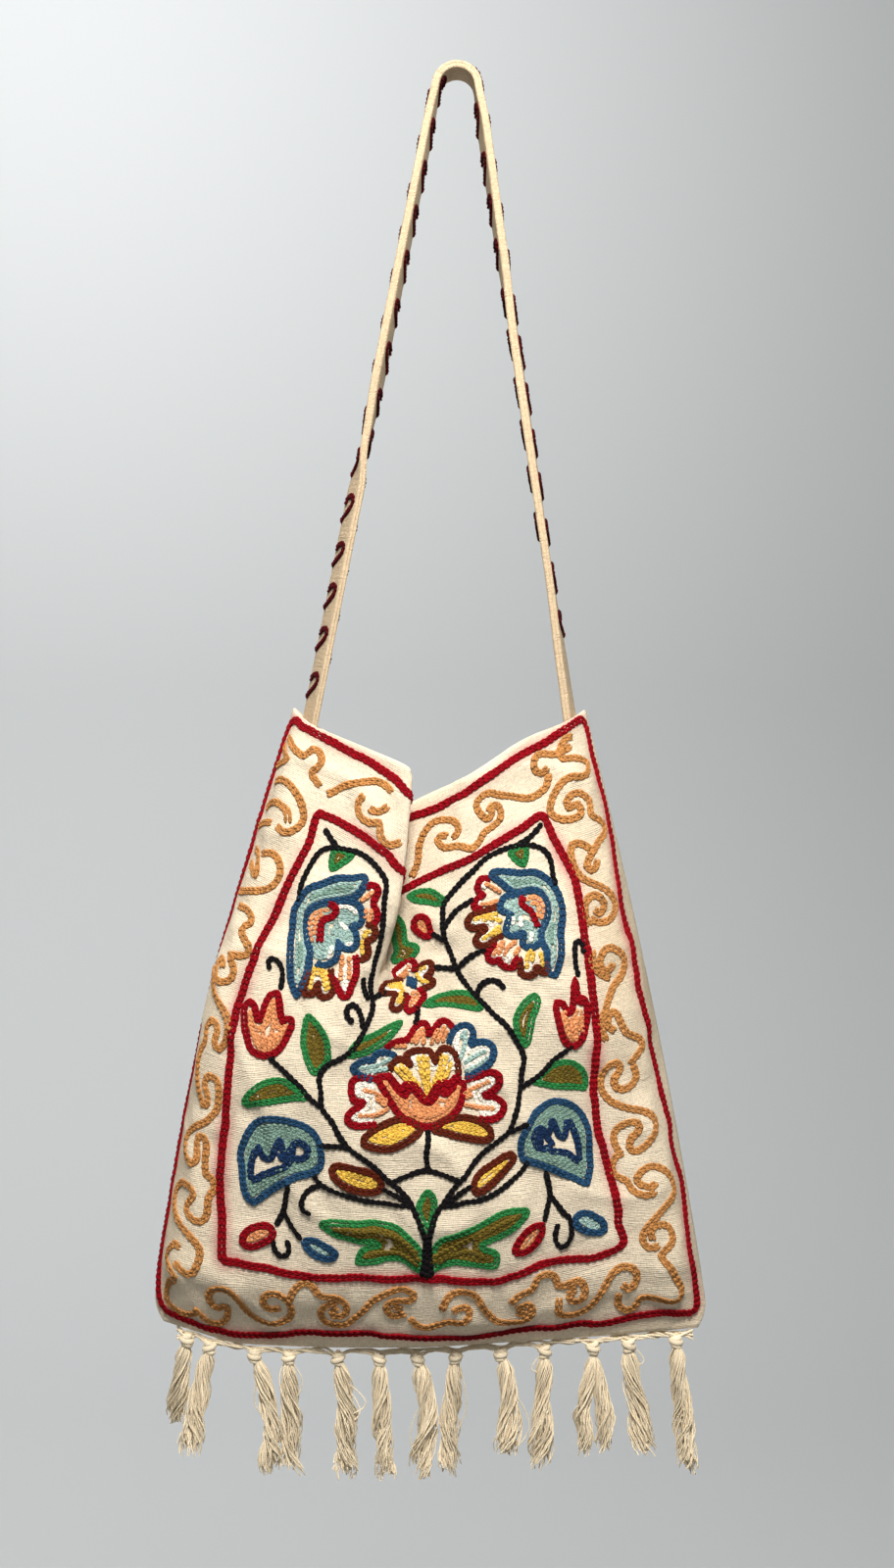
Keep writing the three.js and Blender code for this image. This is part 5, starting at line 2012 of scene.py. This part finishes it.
    def middle(self, tassel: Tassel, top: np.ndarray, down: np.ndarray,
               leg: int) -> tuple[np.ndarray, np.ndarray]:
        """Gives a tassel's middle line down its length.

        Args:
            tassel: The tassel.
            top: Its top.
            down: Shares of its length.
            leg: -1 or 1 for a leg of a parted tassel, or 0.

        Returns:
            Places across and in depth.
        """
        sway = down**self.sway_curve
        apart = leg * self.parting * np.clip((down - self.parting_start) / self.parting_reach, 0, 1)
        return (top[0] + tassel.sway_x * sway + tassel.bulge * np.sin(math.pi * down) + apart,
                top[1] + tassel.sway_y * sway)

    def loose_loop(self, tassel: Tassel, top: np.ndarray, loop: Loop) -> np.ndarray:
        """Follows a thread that stands off a tassel.

        Args:
            tassel: The tassel.
            top: Its top.
            loop: The loop.

        Returns:
            Its line.
        """
        aside, forward = 0.8, 0.4
        along = np.linspace(0, 1, self.loop_points)
        drop = loop.leaves + (loop.returns - loop.leaves) * along
        x, y = self.middle(tassel, top, drop / tassel.length, 0)
        side = math.copysign(1, loop.reach)
        x = x + side * self.profile(tassel, drop) * aside + loop.reach * np.sin(math.pi * along)
        y = y - self.profile(tassel, drop) * forward
        return np.stack([x, y, top[2] - drop - self.loop_sag * np.sin(math.pi * along)], axis=1)

    def tassel(self, number: int, tassel: Tassel) -> None:
        """Builds the twisted threads of one tassel.

        Args:
            number: Its number from the left, from 1.
            tassel: Its sizes.
        """
        across_wave, depth_wave, fine_wave, fine_share = 6.5, 7, 3, 0.5
        rng = np.random.default_rng(self.tassel_seed + number)
        top = self.tie_point(tassel)
        twist = rng.uniform(*self.twist) * rng.choice((-1, 1))
        parted = tassel.girth > self.parting_girth
        lines = []
        for lock in range(self.locks * (2 if parted else 1)):
            leg = (lock % 2) * 2 - 1 if parted else 0
            turn = math.tau * lock / self.locks + rng.normal(0, self.lock_stray)
            roll = rng.uniform(*self.lock_roll) * math.copysign(1, twist)
            lock_length = tassel.length * rng.uniform(*self.lock_length)
            wander = rng.uniform(0, math.tau, 2)
            for strand in range(self.lock_threads):
                length = lock_length * rng.uniform(*self.thread_length)
                drop = np.linspace(self.thread_start, length, self.thread_steps)
                down = np.clip(drop / tassel.length, 0, 1)
                x, y = self.middle(tassel, top, down, leg)
                wide = self.profile(tassel, drop) * (self.parted_share if parted else 1.0)
                deep = np.minimum(wide, tassel.girth)
                about = turn + twist * np.maximum(drop - self.twist_start, 0)
                spin = rng.uniform(0, math.tau) + roll * drop
                share = self.lock_core * math.sqrt(rng.uniform(*self.thread_core))
                frizz = self.frizz * ramp(drop, self.frizz_start, self.frizz_end)
                x = x + wide * (self.lock_ring * np.cos(about) + share * np.cos(spin))
                x = (x + frizz * np.sin(drop / across_wave + wander[0])
                     + frizz * fine_share * np.sin(drop / fine_wave + strand))
                y = (y + deep * (self.lock_ring * np.sin(about) + share * np.sin(spin))
                     + frizz * np.sin(drop / depth_wave + wander[1]))
                lines.append(np.stack([x, y, top[2] - drop], axis=1))
        tips = np.linspace(0, 1, self.thread_steps) > self.tip_share
        girths = [np.where(tips, self.tip_girth, 1.0)] * len(lines)
        for loop in LOOPS:
            if loop.tassel == number:
                lines.append(self.loose_loop(tassel, top, loop))
                girths.append(np.full(self.loop_points, self.loop_girth))
        piece = self.threads_piece(f"tassel_threads_{number:02d}", lines, girths, self.thread)
        declare(piece, "fringe_cotton", f"tassel_{number:02d}")

    def knots(self) -> None:
        """Builds the round knots that close the tassels' tops."""
        rng = np.random.default_rng(self.knot_seed)
        half = self.knot_thread / 2
        lines = []
        for tassel in TASSELS:
            top = self.tie_point(tassel)
            for wrap in range(self.wraps):
                off_middle = 2 * (wrap + 0.5) / self.wraps - 1
                radius = self.knot_radius * math.sqrt(1 - self.knot_taper * off_middle**2) - half
                around = np.linspace(0, math.tau * self.wrap_turn, self.wrap_points)
                around = around + rng.uniform(*self.knot_start)
                sink = self.knot_height / 2 + off_middle * (self.knot_height / 2 - half) * self.knot_spread
                tilt = rng.uniform(*self.knot_tilt) * rng.choice((-1, 1))
                lines.append(np.stack([top[0] + np.cos(around) * radius, top[1] + np.sin(around) * radius,
                                       top[2] - sink + np.cos(around) * radius * tilt], axis=1))
        girths = [np.ones(self.wrap_points)] * len(lines)
        piece = self.threads_piece("tassel_knots", lines, girths, self.knot_thread, self.knot_sides)
        declare(piece, "fringe_cotton")

    def build(self) -> None:
        """Builds the heading, every tassel and the knots."""
        self.heading()
        for number, tassel in enumerate(TASSELS, start=1):
            self.tassel(number, tassel)
        self.knots()


# Studio


class Lamp(NamedTuple):
    """A square soft light: its place, the point that it faces, its side, its power and its colour."""

    name: str
    place: Place
    aim: Place
    size: float
    watts: float
    colour: tuple[float, float, float]


BACK_WALL = 4.6
MIDDLE: Place = (0.0, 0.0, -0.5)
LAMPS: tuple[Lamp, ...] = (
    Lamp("key_light", (0.04, -0.93, 0.42), MIDDLE, 0.3, 25.8, (1.0, 0.97, 0.93)),
    Lamp("left_fill", (-1.3, -1.5, 0.3), MIDDLE, 1.2, 0.6, (0.97, 0.98, 1.0)),
    Lamp("right_fill", (1.3, -1.2, 0.3), MIDDLE, 1.2, 2.2, (0.97, 0.98, 1.0)),
    Lamp("back_light", (0.35, 1.1, 0.3), MIDDLE, 0.5, 6.0, (1.0, 0.98, 0.95)),
    Lamp("wall_light", (-1.6, 1.4, 2.6), (-1.2, BACK_WALL, 0.7), 3.4, 235.0, (1.0, 1.0, 1.0)),
)


@dataclass
class Studio:
    """Camera, soft lights and a pale floor that sweeps up behind, in metres."""

    eye: Place = (-0.006, -1.0, -0.435)
    lens: float = 37.5
    sun_place: Place = (-0.9, -1.9, 2.0)
    sun_strength: float = 0.4
    sun_softness: float = 14.0
    surround: tuple[float, float, float, float] = (0.93, 0.95, 0.97, 1.0)
    surround_light: float = 0.15
    surround_seen: float = 0.6
    floor: float = -1.9
    half_width: float = 7.0
    front: float = -5.0
    back: float = BACK_WALL
    sweep: float = 1.8
    sweep_steps: int = 16
    top: float = 7.0
    pale: Colour = (182, 184, 184)
    roughness: float = 0.95

    def camera(self) -> None:
        """Sets the camera at the photograph's angle."""
        lens = bpy.data.cameras.new("camera")
        lens.lens = self.lens
        camera = bpy.data.objects.new("camera", lens)
        camera.location = self.eye
        camera.rotation_euler = (math.pi / 2, 0, 0)
        bpy.context.scene.collection.objects.link(camera)
        bpy.context.scene.camera = camera

    @staticmethod
    def aim(light: bpy.types.Light, place: Place, aim: Place) -> None:
        """Places a light and turns it to a point.

        Args:
            light: The light.
            place: Where it stands.
            aim: The point that it faces.
        """
        holder = bpy.data.objects.new(light.name, light)
        holder.location = place
        x, y, z = np.array(aim) - np.array(place)
        holder.rotation_euler = (math.atan2(math.hypot(x, y), -z), 0, math.atan2(-x, y))
        bpy.context.scene.collection.objects.link(holder)

    def lights(self) -> None:
        """Adds the lights and the even surround."""
        sun = bpy.data.lights.new("day_light", "SUN")
        sun.energy, sun.angle = self.sun_strength, math.radians(self.sun_softness)
        self.aim(sun, self.sun_place, MIDDLE)
        for lamp in LAMPS:
            light = bpy.data.lights.new(lamp.name, "AREA")
            light.size, light.energy, light.color = lamp.size, lamp.watts, lamp.colour
            self.aim(light, lamp.place, lamp.aim)
        world = bpy.data.worlds.new("surround")
        world.use_nodes = True
        nodes = Nodes(world.node_tree)
        seen = nodes.add("ShaderNodeLightPath").outputs["Is Camera Ray"]
        strength = nodes.remap(seen, 0.0, 1.0, self.surround_light, self.surround_seen)
        nodes.feed(world.node_tree.nodes["Background"], {"Color": self.surround, "Strength": strength})
        bpy.context.scene.world = world
        bpy.context.scene.view_settings.view_transform = "Standard"

    def stage(self) -> None:
        """Builds the floor and its sweep."""
        profile = [(self.front, self.floor), (self.back - self.sweep, self.floor)]
        for step in range(1, self.sweep_steps + 1):
            angle = math.pi / 2 * step / self.sweep_steps
            profile.append((self.back - self.sweep + math.sin(angle) * self.sweep,
                            self.floor + self.sweep - math.cos(angle) * self.sweep))
        profile.append((self.back, self.top))
        points = [(x, y, z) for y, z in profile for x in (-self.half_width, self.half_width)]
        faces = [(2 * row, 2 * row + 1, 2 * row + 3, 2 * row + 2) for row in range(len(profile) - 1)]
        floor = new_piece("floor", np.array(points), (), faces)
        material, nodes, shader = new_material("pale_floor")
        nodes.feed(shader, {"Base Color": linear(self.pale), "Roughness": self.roughness})
        floor.data.materials.append(material)


def main() -> None:
    """Builds the bag and its studio in order."""
    logging.basicConfig(level=logging.INFO, format="%(name)s %(message)s")
    studio = Studio()
    studio.camera()
    studio.lights()
    studio.stage()
    strap = Strap()
    strap.build()
    front = Cloth(side=-1, sections=FRONT_SECTIONS, seed=11)
    back = Cloth(side=1, sections=BACK_SECTIONS, seed=23, pitch=4.0)
    Panel("front_cloth", "front_panel", front).build()
    Panel("back_cloth", "back_panel", back).build()
    link = chain_link()
    design = Stitches(link, "stitches", "panel_cotton")
    Embroidery(front, design).work()
    design.build()
    hooks = Stitches(link, "strap_hooks", "strap_cotton")
    strap.stitch(hooks)
    hooks.build()
    bpy.data.objects.remove(link)
    Fringe(front).build()


if __name__ == "__main__":
    main()
